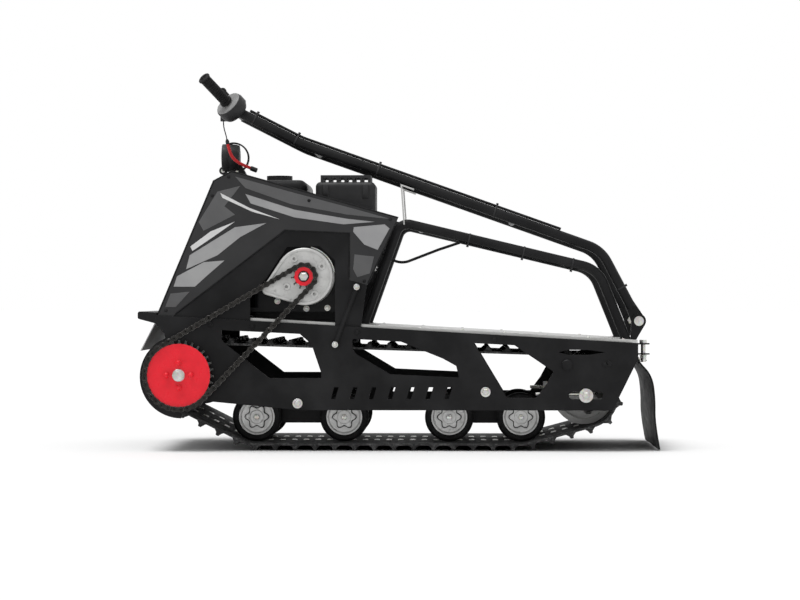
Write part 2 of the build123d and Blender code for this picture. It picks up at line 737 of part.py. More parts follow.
for share in (1 / 3, 2 / 3):
    band_z = MUFFLER[1] + (MUFFLER[2] - MUFFLER[1]) * share
    muffler += rounded_block(
        ENGINE_REAR, MUFFLER[0] + MUFFLER_PROUD, MUFFLER_LEFT - MUFFLER_PROUD, MUFFLER_RIGHT + MUFFLER_PROUD,
        band_z, band_z + MUFFLER_BAND, MUFFLER_PROUD,
    )

# Chain drive
CHAIN_WHEELS = [(OUTPUT, OUTPUT_PITCH_RADIUS), (DRIVE, DRIVE_PITCH_RADIUS)]
chain_line = belt_path(CHAIN_WHEELS)
LINK_COUNT = 2 * round(chain_line.length / CHAIN_PITCH / 2)
link = chain_line.length / LINK_COUNT
CHAIN_INNER = CHAIN_GAP
CHAIN_OUTER = CHAIN_GAP + CHAIN_PLATE


def toothed(centre, teeth, pitch_radius):
    """Sprocket whose gaps hold the chain's rollers, one gap facing away from the other sprocket."""
    other = DRIVE if centre == OUTPUT else OUTPUT
    first = math.degrees(math.atan2(centre[1] - other[1], centre[0] - other[0]))
    wheel = disc(centre, pitch_radius + TOOTH_TIP)
    for gap in ring_of_discs(centre, pitch_radius, CHAIN_ROLLER + TOOTH_FIT, teeth, first):
        wheel -= gap
    return wheel


def chain_start():
    """Length along the chain line at which a roller sits furthest from the output sprocket."""
    away = unit(OUTPUT, DRIVE)
    far_point = off(DRIVE, away, DRIVE_PITCH_RADIUS)
    return chain_line.param_at_point(Vector(*far_point, 0)) * chain_line.length


def chain_row():
    """Scalloped row of link plates: outer plates wide at both pins, inner ones waisted between them."""
    sides = {1: [], -1: []}
    start = chain_start()
    for index in range(LINK_COUNT // 2):
        for step, height in ((0, CHAIN_HEIGHT), (1, CHAIN_HEIGHT), (1.5, CHAIN_WAIST)):
            point, normal = along(chain_line, start + link * (2 * index + step))
            for side, points in sides.items():
                points.append(off(point, normal, side * height / 2))
    return outline(sides[1]) - outline(sides[-1])


row = chain_row()
chain = across(row, CHAIN_Y + CHAIN_INNER, CHAIN_Y + CHAIN_OUTER)
chain += across(row, CHAIN_Y - CHAIN_OUTER, CHAIN_Y - CHAIN_INNER)
rollers = []
for index in range(LINK_COUNT):
    place, _ = along(chain_line, chain_start() + link * index)
    roller = Pos(*place) * RegularPolygon(CHAIN_ROLLER, 6)
    rollers.append(across(roller, CHAIN_Y - CHAIN_INNER - 1, CHAIN_Y + CHAIN_INNER + 1))
chain += rollers

drive_sprocket = across(
    toothed(DRIVE, DRIVE_TEETH, DRIVE_PITCH_RADIUS) - disc(DRIVE, DRIVE_SHAFT + PIN_FIT),
    CHAIN_Y - SPROCKET / 2, CHAIN_Y + SPROCKET / 2,
)
for head in ring_of_discs(DRIVE, SPROCKET_BOLT_CIRCLE, SPROCKET_BOLT, 4, 0):
    drive_sprocket += across(head, CHAIN_Y - SPROCKET / 2 - 4, CHAIN_Y - SPROCKET / 2)
output_sprocket = across(
    toothed(OUTPUT, OUTPUT_TEETH, OUTPUT_PITCH_RADIUS) - disc(OUTPUT, OUTPUT_SHAFT + PIN_FIT),
    CHAIN_Y - SPROCKET / 2, CHAIN_Y + SPROCKET / 2,
)
output_shaft = shaft(OUTPUT, OUTPUT_SHAFT, CHAIN_Y - SPROCKET / 2 - 1, -CASE_FACE)
output_shaft += across(
    Pos(*OUTPUT) * RegularPolygon(OUTPUT_SHAFT + 2, 6), CHAIN_Y - SPROCKET / 2 - 8, CHAIN_Y - SPROCKET / 2 - 1
)

# Drive shaft, its bearings and track wheels
shaft_nut = Pos(*DRIVE) * RegularPolygon(17, 6)
drive_shaft = shaft(DRIVE, DRIVE_SHAFT, -DRIVE_SHAFT_END, DRIVE_SHAFT_END)
for y_low in (-DRIVE_SHAFT_END + 4, DRIVE_SHAFT_END - 16):
    drive_shaft += across(shaft_nut, y_low, y_low + 12)
bearing = turned(
    [
        (DRIVE_SHAFT + PIN_FIT, 0), (BEARING_FLANGE, 0), (BEARING_FLANGE, BEARING_STEP),
        (HUB_BOSS, BEARING_STEP + PLATE), (HUB_BOSS, BEARING_DEPTH), (DRIVE_SHAFT + PIN_FIT, BEARING_DEPTH),
    ],
    DRIVE, PLATE_OUT,
)
bearing_housings = pair(bearing)


def belt_wheel(centre, bore, spokes):
    half = WHEEL_WIDTH / 2
    rim = WHEEL_RADIUS - SEAT
    wheel = turned(
        [
            (bore + PIN_FIT, -half), (HUB_BOSS, -half), (HUB_BOSS, -WHEEL_WEB / 2), (rim - WHEEL_RIM, -WHEEL_WEB / 2),
            (rim - WHEEL_RIM, -half), (rim, -half), (rim, half), (rim - WHEEL_RIM, half),
            (rim - WHEEL_RIM, WHEEL_WEB / 2), (HUB_BOSS, WHEEL_WEB / 2), (HUB_BOSS, half), (bore + PIN_FIT, half),
        ],
        centre, WHEEL_Y,
    )
    hole_circle = (HUB_BOSS + rim - WHEEL_RIM) / 2
    for hole in ring_of_discs(centre, hole_circle, 14, spokes, 0):
        wheel -= across(hole, WHEEL_Y - half, WHEEL_Y + half)
    return pair(wheel)


track_drive_wheels = belt_wheel(DRIVE, DRIVE_SHAFT, 6)
idler_wheels = belt_wheel(IDLER, CROSS_SHAFT, 5)


def headed_shaft(centre, head, y_end):
    """Cross shaft between the plates with a bolt head against each plate's outside."""
    body = shaft(centre, CROSS_SHAFT, -y_end, y_end)
    body += shaft(centre, head, y_end, y_end + SHAFT_HEAD_DEPTH)
    return body + shaft(centre, head, -y_end - SHAFT_HEAD_DEPTH, -y_end)


idler_axle = headed_shaft(IDLER, IDLER_WASHER, PLATE_OUT)
bogie_shafts = group(
    *[headed_shaft((x, z), SHAFT_HEAD + 4, PLATE_OUT) for x, z in zip(BOGIE_XS, BOGIE_PIVOT_ZS)],
    headed_shaft(RETURN, SHAFT_HEAD + 4, PLATE_OUT),
)
return_roller = turned(
    [
        (CROSS_SHAFT + PIN_FIT, -RETURN_WIDTH / 2), (RETURN_RADIUS - SEAT, -RETURN_WIDTH / 2),
        (RETURN_RADIUS - SEAT, RETURN_WIDTH / 2), (CROSS_SHAFT + PIN_FIT, RETURN_WIDTH / 2),
    ],
    RETURN, RETURN_Y,
)
return_rollers = pair(return_roller)

# Rollers: tyre on a dished hub with a lobed boss, on bogie beams
ROLLER_HALF = ROLLER_WIDTH / 2
tyre_profile = [
    (HUB_RADIUS, -ROLLER_HALF), (ROLLER_RADIUS - SEAT - ROLLER_CHAMFER, -ROLLER_HALF),
    (ROLLER_RADIUS - SEAT, -ROLLER_HALF + ROLLER_CHAMFER), (ROLLER_RADIUS - SEAT, ROLLER_HALF - ROLLER_CHAMFER),
    (ROLLER_RADIUS - SEAT - ROLLER_CHAMFER, ROLLER_HALF), (HUB_RADIUS, ROLLER_HALF),
]
hub_profile = [
    (ROLLER_AXLE + PIN_FIT, -ROLLER_HALF + HUB_DISH), (HUB_RADIUS - 8, -ROLLER_HALF + HUB_DISH),
    (HUB_RADIUS - 4, -ROLLER_HALF), (HUB_RADIUS, -ROLLER_HALF), (HUB_RADIUS, ROLLER_HALF),
    (HUB_RADIUS - 4, ROLLER_HALF), (HUB_RADIUS - 8, ROLLER_HALF - HUB_DISH), (ROLLER_AXLE + PIN_FIT, ROLLER_HALF - HUB_DISH),
]


def roller_hub(centre):
    boss = disc(centre, HUB_LOBE_CIRCLE)
    for lobe in ring_of_discs(centre, HUB_LOBE_CIRCLE, HUB_LOBE_RADIUS, HUB_LOBES, 0):
        boss += lobe
    boss -= disc(centre, ROLLER_AXLE + PIN_FIT)
    face = ROLLER_Y + ROLLER_HALF - HUB_DISH
    return turned(hub_profile, centre, ROLLER_Y) + across(boss, face, face + HUB_STEP)


roller_centres = [(x, ROLLER_Z) for x in ROLLER_XS]
roller_tyres = group(*[pair(turned(tyre_profile, centre, ROLLER_Y)) for centre in roller_centres])
roller_hubs = group(*[pair(roller_hub(centre)) for centre in roller_centres])
AXLE_END = ROLLER_Y + ROLLER_HALF - HUB_DISH + HUB_STEP + 3
roller_axles = group(*[shaft(centre, ROLLER_AXLE, -AXLE_END, AXLE_END) for centre in roller_centres])


def bogie_beam(front, rear, pivot):
    beam = make_hull(
        disc(front, BOGIE_EYE).edges() + disc(rear, BOGIE_EYE).edges() + disc(pivot, BOGIE_EYE).edges()
    )
    for eye, bore in ((front, ROLLER_AXLE), (rear, ROLLER_AXLE), (pivot, CROSS_SHAFT)):
        beam -= disc(eye, bore + PIN_FIT)
    return pair(across(beam, BOGIE_BEAM_Y - BOGIE_BEAM / 2, BOGIE_BEAM_Y + BOGIE_BEAM / 2))


bogie_beams = group(*[
    bogie_beam(roller_centres[2 * index], roller_centres[2 * index + 1], (BOGIE_XS[index], BOGIE_PIVOT_ZS[index]))
    for index in range(2)
])

# Track: belt round its wheels, with a row of lugs at even pitch
TRACK_WHEELS = [
    (DRIVE, WHEEL_RADIUS), *[(centre, ROLLER_RADIUS) for centre in roller_centres],
    (IDLER, WHEEL_RADIUS), (RETURN, RETURN_RADIUS),
]
belt_outside = belt_path(TRACK_WHEELS, BELT)
belt_inside = belt_path(TRACK_WHEELS)
LUG_COUNT = round(belt_outside.length / LUG_PITCH)


def lug(index):
    length = belt_outside.length * index / LUG_COUNT
    point, normal = along(belt_outside, length)
    forward = (-normal[1], normal[0])
    corners = ((LUG_FOOT, -BELT / 2), (-LUG_FOOT, -BELT / 2), (-LUG_TIP, LUG_HEIGHT), (LUG_TIP, LUG_HEIGHT))
    return outline([off(off(point, forward, width / 2), normal, height) for width, height in corners])


track_outline = make_face(belt_outside.edges())
track_outline += [lug(index) for index in range(LUG_COUNT)]
track_outline -= make_face(belt_inside.edges())
track_belt = across(track_outline, -TRACK_WIDTH / 2, TRACK_WIDTH / 2)

# Track tensioners: a screw from a block on the plate to an eye on the idler axle
tension_y = PLATE_IN - TENSION_INSET
tension_z = IDLER[1] + TENSION_DROP
tension_x = IDLER[0] - TENSION_REACH
block_width = TENSION_INSET + TENSION_LAP
tension_block = Pos(tension_x, PLATE_IN - block_width / 2, tension_z) * Box(
    TENSION_BLOCK[0], block_width, TENSION_BLOCK[1]
)
tension_screw = rod(
    (tension_x - TENSION_TAIL, tension_y, tension_z), (IDLER[0] - TENSION_BLOCK[0], tension_y, tension_z), TENSION_SCREW
)
tension_eye = across(
    disc(IDLER, CROSS_SHAFT + TENSION_EYE) - disc(IDLER, CROSS_SHAFT + PIN_FIT),
    tension_y - TENSION_SCREW, tension_y + TENSION_SCREW,
)
track_tensioners = pair(tension_block + tension_screw + tension_eye)

# Hoops, standing on the deck
under_deck = across(top_band(FRAME_FRONT, PIVOT[0] + EAR_RADIUS, -FRAME_TOP_REAR, DECK), -PLATE_OUT, PLATE_OUT)


def on_tube(points):
    return [(x, TUBE_Y, z) for x, z in points]


def below(point, other, drop):
    """Point some way further along a straight tube, past its end."""
    return off(point, unit(other, point), drop)


front_foot = below((HOOP_FRONT_X, deck_top(HOOP_FRONT_X)), HOOP_TOP, 12)
rear_foot = below((HOOP_REAR_X, deck_top(HOOP_REAR_X)), HOOP_BEND, 12)
hoop = pipe(on_tube([front_foot, HOOP_TOP, HOOP_BEND, rear_foot]), TUBE, HOOP_BENDS) - under_deck
HOOP_BAR_AT = (off(HOOP_TOP, unit(HOOP_TOP, HOOP_BEND), 60), off(HOOP_BEND, unit(HOOP_BEND, HOOP_TOP), 90))
hoop_right = hoop
hoop_left = mirrored(hoop)
hoop_crossbars = group(*[
    shaft(place, CROSSBAR, -TUBE_Y, TUBE_Y) - hoop_left - hoop_right for place in HOOP_BAR_AT
])

# Braces from the guard plates down to the side plates
brace_rod_y = PLATE_OUT + BRACE + SIDE_PLAY
brace_eye_end = brace_rod_y + BRACE + 3
brace = rod((BRACE_TOP[0], brace_rod_y, BRACE_TOP[1]), (BRACE_FOOT[0], brace_rod_y, BRACE_FOOT[1]), BRACE)
brace += shaft(BRACE_FOOT, 11, PLATE_OUT, brace_eye_end)
brace += shaft(BRACE_TOP, 11, HOOD_IN, brace_eye_end)
brace_struts = pair(brace)

# Steering arm
arm_run = unit(PIVOT, ARM_BEND)
arm_start = off(PIVOT, arm_run, ARM_TUBE_START)
bar_ends = [GRIP_END, (BAR_CENTRE[0], BAR_HALF_WIDTH, BAR_CENTRE[1])]
bar_points = [*bar_ends, *[(x, -y, z) for x, y, z in reversed(bar_ends)]]
handlebar = pipe(bar_points, BAR, BAR_BEND)
arm = pipe(on_tube([arm_start, ARM_BEND, ARM_KNEE, BAR_CENTRE]), TUBE, ARM_BENDS) - handlebar
lug_outline = make_hull(disc(PIVOT, ARM_EYE).edges() + disc(off(PIVOT, arm_run, ARM_TUBE_START + 30), TUBE - 2).edges())
arm += across(lug_outline, TUBE_Y - ARM_LUG / 2, TUBE_Y + ARM_LUG / 2)
arm -= shaft(PIVOT, PIVOT_BOLT + PIN_FIT, 0, PLATE_OUT)
arm_right = arm
arm_left = mirrored(arm)
back_run = unit(ARM_BEND, ARM_KNEE)
arm_bars = [off(ARM_BEND, back_run, (ARM_BEND[0] - x) / -back_run[0]) for x in ARM_BAR_XS]
arm_crossbars = group(*[shaft(place, CROSSBAR, -TUBE_Y, TUBE_Y) - arm_left - arm_right for place in arm_bars])

ear_gap = ARM_LUG / 2 + SIDE_PLAY
ear_outline = make_hull(
    disc(PIVOT, EAR_RADIUS).edges()
    + outline([(x, deck_top(x) + rise) for rise, x in ((0, EAR_FOOT[0]), (0, EAR_FOOT[1]), (20, EAR_FOOT[1]))]).edges()
) - disc(PIVOT, PIVOT_BOLT + PIN_FIT)
ear_outside = across(ear_outline, TUBE_Y + ear_gap, TUBE_Y + ear_gap + EAR)
ear_inside = across(ear_outline, TUBE_Y - ear_gap - EAR, TUBE_Y - ear_gap)
pivot_ears = group(pair(ear_outside), pair(ear_inside))
bolt_reach = ear_gap + EAR
pivot_bolt = shaft(PIVOT, PIVOT_BOLT, TUBE_Y - bolt_reach, TUBE_Y + bolt_reach)
pivot_bolt += shaft(PIVOT, 2 * PIVOT_BOLT, TUBE_Y + bolt_reach, TUBE_Y + bolt_reach + 7)
pivot_bolt += across(Pos(*PIVOT) * RegularPolygon(12, 6), TUBE_Y - bolt_reach - 10, TUBE_Y - bolt_reach)
pivot_bolts = pair(pivot_bolt)

# Rest for the folded arm, from the hoops' front corners up to the arm tubes
rest_level = TUBE + SEAT + REST_BAR
rest_back = off(ARM_BEND, back_run, (ARM_BEND[0] - HOOP_TOP[0] - REST_LEDGE) / -back_run[0])
rest_front = off(ARM_BEND, back_run, (ARM_BEND[0] - HOOP_TOP[0] - 12) / -back_run[0])
rest_points = [
    (HOOP_TOP[0] + 14, HOOP_TOP[1] - 8),
    beside(rest_front, back_run, 0, rest_level),
    beside(rest_back, back_run, 0, rest_level),
]
rest_bar = across(strip(rest_points, REST_BAR), TUBE_Y - REST_WIDTH / 2, TUBE_Y + REST_WIDTH / 2) - hoop
arm_rest_bracket = pair(rest_bar)

# Grips, gauge and ignition switch on the handlebar
grip_end = Vector(GRIP_END)
grip_run = (Vector(*bar_ends[1]) - grip_end).normalized()
grip_plane = Plane(origin=grip_end - grip_run * GRIP_CAP_WIDTH, z_dir=grip_run)
grip = extrude(grip_plane * Circle(GRIP), GRIP_LENGTH) + extrude(grip_plane * Circle(GRIP_CAP), GRIP_CAP_WIDTH)
grip -= extrude(grip_plane.offset(GRIP_CAP_WIDTH) * Circle(BAR + SEAT), GRIP_LENGTH)
grips = pair(grip)

gauge_root = (BAR_CENTRE[0] + GAUGE_AXIS[0] * BAR, 0, BAR_CENTRE[1] + GAUGE_AXIS[1] * BAR)
gauge_plane = Plane(origin=gauge_root, z_dir=(GAUGE_AXIS[0], 0, GAUGE_AXIS[1]))
gauge_housing = extrude(gauge_plane * Circle(GAUGE_RADIUS), GAUGE_DEPTH)
gauge_housing = fillet(gauge_housing.edges().filter_by(GeomType.CIRCLE), 4) - handlebar
gauge_seat = gauge_plane.offset(GAUGE_DEPTH - GAUGE_LIP)
gauge_housing -= extrude(gauge_seat * Circle(GAUGE_RADIUS - 6), GAUGE_LIP)
gauge_face = extrude(gauge_seat * Circle(GAUGE_RADIUS - 6), GAUGE_LIP - 1)

switch_x = BAR_CENTRE[0] - SWITCH_SETBACK
switch_bottom = BAR_CENTRE[1] - SWITCH_HEIGHT / 2
button_x = switch_x - SWITCH_LENGTH / 4
ignition_switch = Pos(switch_x, SWITCH_Y, BAR_CENTRE[1]) * Box(SWITCH_LENGTH, SWITCH_WIDTH, SWITCH_HEIGHT)
ignition_switch = fillet(ignition_switch.edges().filter_by(Axis.Y), 6) - handlebar
ignition_switch += rod((button_x, SWITCH_Y, switch_bottom), (button_x, SWITCH_Y, switch_bottom - 2 * SWITCH_BUTTON), SWITCH_BUTTON)

# Safety lanyard: a thin cord from the switch to a strap that hangs free
lanyard_start = (button_x, SWITCH_Y, switch_bottom - 2 * SWITCH_BUTTON)
lanyard_bend = (button_x, SWITCH_Y, lanyard_start[2] - LANYARD_DROP)
strap_start = Vector(*STRAP_ROUTE[0])
strap_run = (Vector(*STRAP_ROUTE[1]) - strap_start).normalized()
lanyard_route = [lanyard_start, lanyard_bend, strap_start - strap_run * LANYARD_DROP, strap_start]
lanyard_cord = pipe(lanyard_route, LANYARD, eased(lanyard_route))
lanyard_strap = pipe(STRAP_ROUTE, STRAP, eased(STRAP_ROUTE))
strap_end = Vector(*STRAP_ROUTE[-1])
clip_run = (strap_end - Vector(*STRAP_ROUTE[-2])).normalized()
lanyard_clip = rod(strap_end, strap_end + clip_run * 3 * STRAP_CLIP, STRAP_CLIP)
lanyard_clip = fillet(lanyard_clip.edges(), STRAP_CLIP / 3)

# Cables: one along the top of the left arm tube, one from the hoop down to the carburettor
cable_off = -(TUBE + CABLE + SEAT)
front_run = unit(ARM_KNEE, BAR_CENTRE)
knee_cosine = back_run[0] * front_run[0] + back_run[1] * front_run[1]
knee_sine = back_run[0] * front_run[1] - back_run[1] * front_run[0]
cable_points = [
    beside(ARM_BEND, back_run, ARM_BENDS[0] * 0.6 + CABLE_SETBACKS[0], cable_off),
    beside(ARM_KNEE, back_run, -cable_off * knee_sine / (1 + knee_cosine), cable_off),
    beside(BAR_CENTRE, front_run, -CABLE_SETBACKS[1], cable_off),
]
arm_cable = pipe([(x, -TUBE_Y, z) for x, z in cable_points], CABLE, ARM_BENDS[1] + cable_off)
throttle_cable = pipe(THROTTLE_ROUTE, CABLE, THROTTLE_BENDS)

# Head light on the nose
light_plane = Plane(origin=(LIGHT[0] + LIGHT_DEPTH / 2, 0, LIGHT[1]), z_dir=(-1, 0, 0))
light_body = extrude(light_plane * Circle(LIGHT_CORE), LIGHT_DEPTH)
light_body += extrude(light_plane.offset(LIGHT_DEPTH - LIGHT_RIM) * Circle(LIGHT_RADIUS), LIGHT_RIM)
for index in range(LIGHT_FINS):
    fin_plane = light_plane.offset(2 * LIGHT_FIN * index)
    light_body += extrude(fin_plane * Circle(LIGHT_RADIUS - LIGHT_FIN), LIGHT_FIN)
lens_plane = light_plane.offset(LIGHT_DEPTH - LENS_DEPTH)
light_body -= extrude(lens_plane * Circle(LIGHT_RADIUS - 4), LENS_DEPTH)
light_lens = extrude(lens_plane * Circle(LIGHT_RADIUS - 4), LENS_DEPTH - 2)
light_bracket = across(
    outline([HOOD_PEAK, nose_end, (LIGHT[0] + LIGHT_DEPTH / 2 + 6, LIGHT[1] - 20), (LIGHT[0], LIGHT[1] - 20)]),
    -LIGHT_FOOT / 2, LIGHT_FOOT / 2,
) - light_body - light_lens

# Hitch and snow flap at the rear
hitch_outline = Pos((FRAME_REAR + HITCH_TIP) / 2, 0) * Rectangle(HITCH_TIP - FRAME_REAR, HITCH_WIDTH)
hitch_outline = fillet(hitch_outline.vertices().group_by(Axis.X)[-1], HITCH_WIDTH / 2 - 1)
hitch_outline -= Pos(HITCH_PIN_X, 0) * Circle(HITCH_PIN + PIN_FIT)
hitch_plates = group(*[Pos(0, 0, z - HITCH_PLATE) * extrude(hitch_outline, HITCH_PLATE) for z in HITCH_ZS])
hitch_pin = rod((HITCH_PIN_X, 0, HITCH_PIN_BOTTOM), (HITCH_PIN_X, 0, HITCH_ZS[0]), HITCH_PIN)
hitch_pin += rod((HITCH_PIN_X, 0, HITCH_ZS[0]), (HITCH_PIN_X, 0, HITCH_PIN_TOP), HITCH_PIN + 4)

flap_points = [(FRAME_REAR, FLAP_TOP), (FRAME_REAR, REAR_PANEL_BOTTOM)]
flap_points += [(FRAME_REAR + x, z) for x, z in FLAP_CURVE]
rear_flap = across(strip(flap_points, FLAP), -FLAP_HALF_WIDTH, FLAP_HALF_WIDTH)

NODES = {
    "side_plate_left": across(plate_outline(), -PLATE_OUT, -PLATE_IN),
    "side_plate_right": side_plate,
    "frame_rails": pair(frame_rail),
    "cross_members": cross_members,
    "deck_plate": deck_plate,
    "front_bumper": front_bumper,
    "front_deflector": front_deflector,
    "hood_panels": pair(hood_panel),
    "hood_nose": hood_nose,
    "guard_plates": pair(guard_plate),
    "engine_mount": engine_mount,
    "engine_block": engine_block,
    "engine_cowl": engine_cowl,
    "engine_cylinder": group(engine_cylinder, carburettor),
    "gear_case": gear_case,
    "recoil_housing": recoil_housing,
    "fuel_tank": fuel_tank,
    "fuel_cap": fuel_cap,
    "air_filter": air_filter,
    "muffler": muffler,
    "output_sprocket": output_sprocket,
    "drive_chain": chain,
    "drive_sprocket": drive_sprocket,
    "drive_shafts": group(drive_shaft, output_shaft),
    "bearing_housings": bearing_housings,
    "track_drive_wheels": track_drive_wheels,
    "track_belt": track_belt,
    "idler_wheels": group(idler_wheels, return_rollers),
    "cross_shafts": group(idler_axle, bogie_shafts, roller_axles),
    "roller_tyres": roller_tyres,
    "roller_hubs": roller_hubs,
    "bogie_beams": bogie_beams,
    "track_tensioners": track_tensioners,
    "hoop_left": hoop_left,
    "hoop_right": hoop_right,
    "hoop_crossbars": hoop_crossbars,
    "brace_struts": brace_struts,
    "pivot_ears": pivot_ears,
    "pivot_bolts": pivot_bolts,
    "arm_rest_bracket": arm_rest_bracket,
    "arm_left": arm_left,
    "arm_right": arm_right,
    "arm_crossbars": arm_crossbars,
    "handlebar": handlebar,
    "grips": grips,
    "gauge_housing": gauge_housing,
    "gauge_face": gauge_face,
    "ignition_switch": ignition_switch,
    "lanyard_cord": lanyard_cord,
    "lanyard_strap": lanyard_strap,
    "lanyard_clip": lanyard_clip,
    "arm_cable": arm_cable,
    "throttle_cable": throttle_cable,
    "light_bracket": light_bracket,
    "light_body": light_body,
    "light_lens": light_lens,
    "hitch_plates": hitch_plates,
    "hitch_pin": hitch_pin,
    "rear_flap": rear_flap,
}

os.makedirs("parts", exist_ok=True)
for name, node in NODES.items():
    export_step(node, f"parts/{name}.step")
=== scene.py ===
import json
import math
import bmesh
import bpy
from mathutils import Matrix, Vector


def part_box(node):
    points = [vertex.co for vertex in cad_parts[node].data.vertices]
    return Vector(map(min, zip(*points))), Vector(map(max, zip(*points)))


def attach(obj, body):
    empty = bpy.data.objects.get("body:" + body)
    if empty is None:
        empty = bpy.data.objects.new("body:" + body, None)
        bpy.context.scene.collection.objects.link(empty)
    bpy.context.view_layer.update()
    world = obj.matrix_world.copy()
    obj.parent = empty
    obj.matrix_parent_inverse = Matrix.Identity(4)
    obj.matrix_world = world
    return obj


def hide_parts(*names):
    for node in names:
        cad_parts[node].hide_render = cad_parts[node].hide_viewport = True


# The looks of the snow tow. Lengths in the tables are millimetres in the model's own frame:
# X from front to rear, Y from left to right, Z up. MM turns them into metres.

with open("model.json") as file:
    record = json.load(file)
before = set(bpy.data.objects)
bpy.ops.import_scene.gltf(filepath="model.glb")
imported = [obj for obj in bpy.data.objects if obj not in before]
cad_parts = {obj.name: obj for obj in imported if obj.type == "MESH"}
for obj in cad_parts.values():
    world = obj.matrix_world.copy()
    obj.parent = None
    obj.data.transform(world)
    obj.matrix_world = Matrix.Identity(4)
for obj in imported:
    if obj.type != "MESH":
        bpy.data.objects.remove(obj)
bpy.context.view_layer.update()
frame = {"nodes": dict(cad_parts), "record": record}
MM = 0.001

# Places and sizes that the model has
OUTPUT = (-270.9, 499)
DRIVE = (-627.7, 217.5)
IDLER = (531.4, 160)
RETURN = (478, 247)
ROLLERS = ((-417.6, 92), (-163, 92), (142, 92), (349.6, 92))
BOGIE_PIVOTS = ((-290.3, 137), (245.8, 170))
PLATE_OUT = 275
HOOD_Y = 270
CHAIN_Y = -300
TUBE_Y = 145
TUBE = 14
BAR_CENTRE = (-486, 987)
BAR_HALF_WIDTH = 160
GRIP_END = (-564, 235, 1071)
GRIP_LENGTH = 108
GAUGE_AXIS = Vector((-0.68, 0, 0.74)).normalized()
LIGHT = (-500, 854)
FRAME_FRONT = (-696, 388.5)
DECK_SHEET = 8
DECK_SLOPE = -0.05741
ARM_LINE = ((690.7, 371), (582, 577), (-292, 888), (-486, 987))
ARM_SLOPE = -0.35584
HOOP_LINE = ((-106, 362.6), (-1, 658.6), (573, 521), (654, 319))
HOOP_SLOPE = -0.23972


def deck_top(x):
    return FRAME_FRONT[1] + DECK_SLOPE * (x - FRAME_FRONT[0]) + DECK_SHEET


# Camera: on the machine's left, a little above the deck
CAMERA_LENS = 102.2
CAMERA_SENSOR = 36
CAMERA_PLACE = (0.167, -6.748, 0.441)
CAMERA_TARGET = (0.002, -0.275, 0.432)


def add_object(name, data):
    made = bpy.data.objects.new(name, data)
    bpy.context.collection.objects.link(made)
    return made


def aim(place, target):
    return (Vector(target) - Vector(place)).to_track_quat("-Z", "Y").to_euler()


def make_camera():
    data = bpy.data.cameras.new("camera")
    data.lens = CAMERA_LENS
    data.sensor_width = CAMERA_SENSOR
    camera = add_object("camera", data)
    camera.location = CAMERA_PLACE
    camera.rotation_euler = aim(CAMERA_PLACE, CAMERA_TARGET)
    bpy.context.scene.camera = camera


# Materials
def add_node(tree, kind, inputs=None, **settings):
    """Shader node with its settings; an input is linked or set."""
    node = tree.nodes.new(kind)
    for key, value in settings.items():
        setattr(node, key, value)
    for key, value in (inputs or {}).items():
        if isinstance(value, bpy.types.NodeSocket):
            tree.links.new(value, node.inputs[key])
        else:
            node.inputs[key].default_value = value
    return node


class Look:
    """A principled material with short helpers for the nodes that feed it."""

    def __init__(self, name, color, roughness, metallic=0.0, **constants):
        self.material = bpy.data.materials.new(name)
        self.material.use_nodes = True
        self.tree = self.material.node_tree
        self.shader = self.tree.nodes["Principled BSDF"]
        constants |= {"Base_Color": (*color, 1), "Roughness": roughness, "Metallic": metallic}
        for key, value in constants.items():
            self.shader.inputs[key.replace("_", " ")].default_value = value
        self.place = self.add("ShaderNodeTexCoord").outputs["Object"]

    def add(self, kind, inputs=None, **settings):
        return add_node(self.tree, kind, inputs, **settings)

    def feed(self, key, socket):
        self.tree.links.new(socket, self.shader.inputs[key])

    def color(self, socket):
        self.feed("Base Color", socket)

    def rough(self, factor, low, high, start=0.3, end=0.7):
        self.feed("Roughness", self.spread(factor, low, high, start, end))

    def stretched(self, scale):
        return self.add("ShaderNodeMapping", {"Vector": self.place, "Scale": scale}).outputs["Vector"]

    def noise(self, scale, detail, place=None):
        inputs = {"Vector": place or self.place, "Scale": scale, "Detail": detail, "Roughness": 0.55}
        return self.add("ShaderNodeTexNoise", inputs).outputs["Fac"]

    def cells(self, scale, output="Distance"):
        return self.add("ShaderNodeTexVoronoi", {"Vector": self.place, "Scale": scale}).outputs[output]

    def ramp(self, factor, stops):
        node = self.add("ShaderNodeValToRGB", {"Fac": factor})
        band = node.color_ramp
        while len(band.elements) < len(stops):
            band.elements.new(1.0)
        for element, (position, color) in zip(band.elements, stops):
            element.position = position
            element.color = (*color, 1)
        return node.outputs["Color"]

    def spread(self, factor, low, high, start=0.3, end=0.7):
        inputs = {"Value": factor, "From Min": start, "From Max": end, "To Min": low, "To Max": high}
        return self.add("ShaderNodeMapRange", inputs).outputs["Result"]

    def math(self, operation, first, second):
        return self.add("ShaderNodeMath", {0: first, 1: second}, operation=operation).outputs[0]

    def mix(self, factor, first, second, blend="MIX"):
        node = self.add("ShaderNodeMix", {0: factor, 6: first, 7: second}, data_type="RGBA", blend_type=blend)
        return node.outputs[2]

    def grained(self, height, distance, strength=1.0, soft_edge=0.0):
        """Raises the surface by a grain and gives the finished material."""
        inputs = {"Height": height, "Distance": distance, "Strength": strength}
        if soft_edge:
            inputs["Normal"] = self.add("ShaderNodeBevel", {"Radius": soft_edge}, samples=4).outputs["Normal"]
        self.feed("Normal", self.add("ShaderNodeBump", inputs).outputs["Normal"])
        return self.material

    def edges(self, radius):
        """1 on sharp edges, 0 on flat faces."""
        bevel = self.add("ShaderNodeBevel", {"Radius": radius}, samples=4).outputs["Normal"]
        normal = self.add("ShaderNodeNewGeometry").outputs["Normal"]
        match = self.add("ShaderNodeVectorMath", {0: bevel, 1: normal}, operation="DOT_PRODUCT")
        return self.spread(match.outputs["Value"], 1.0, 0.0, 0.82, 0.97)


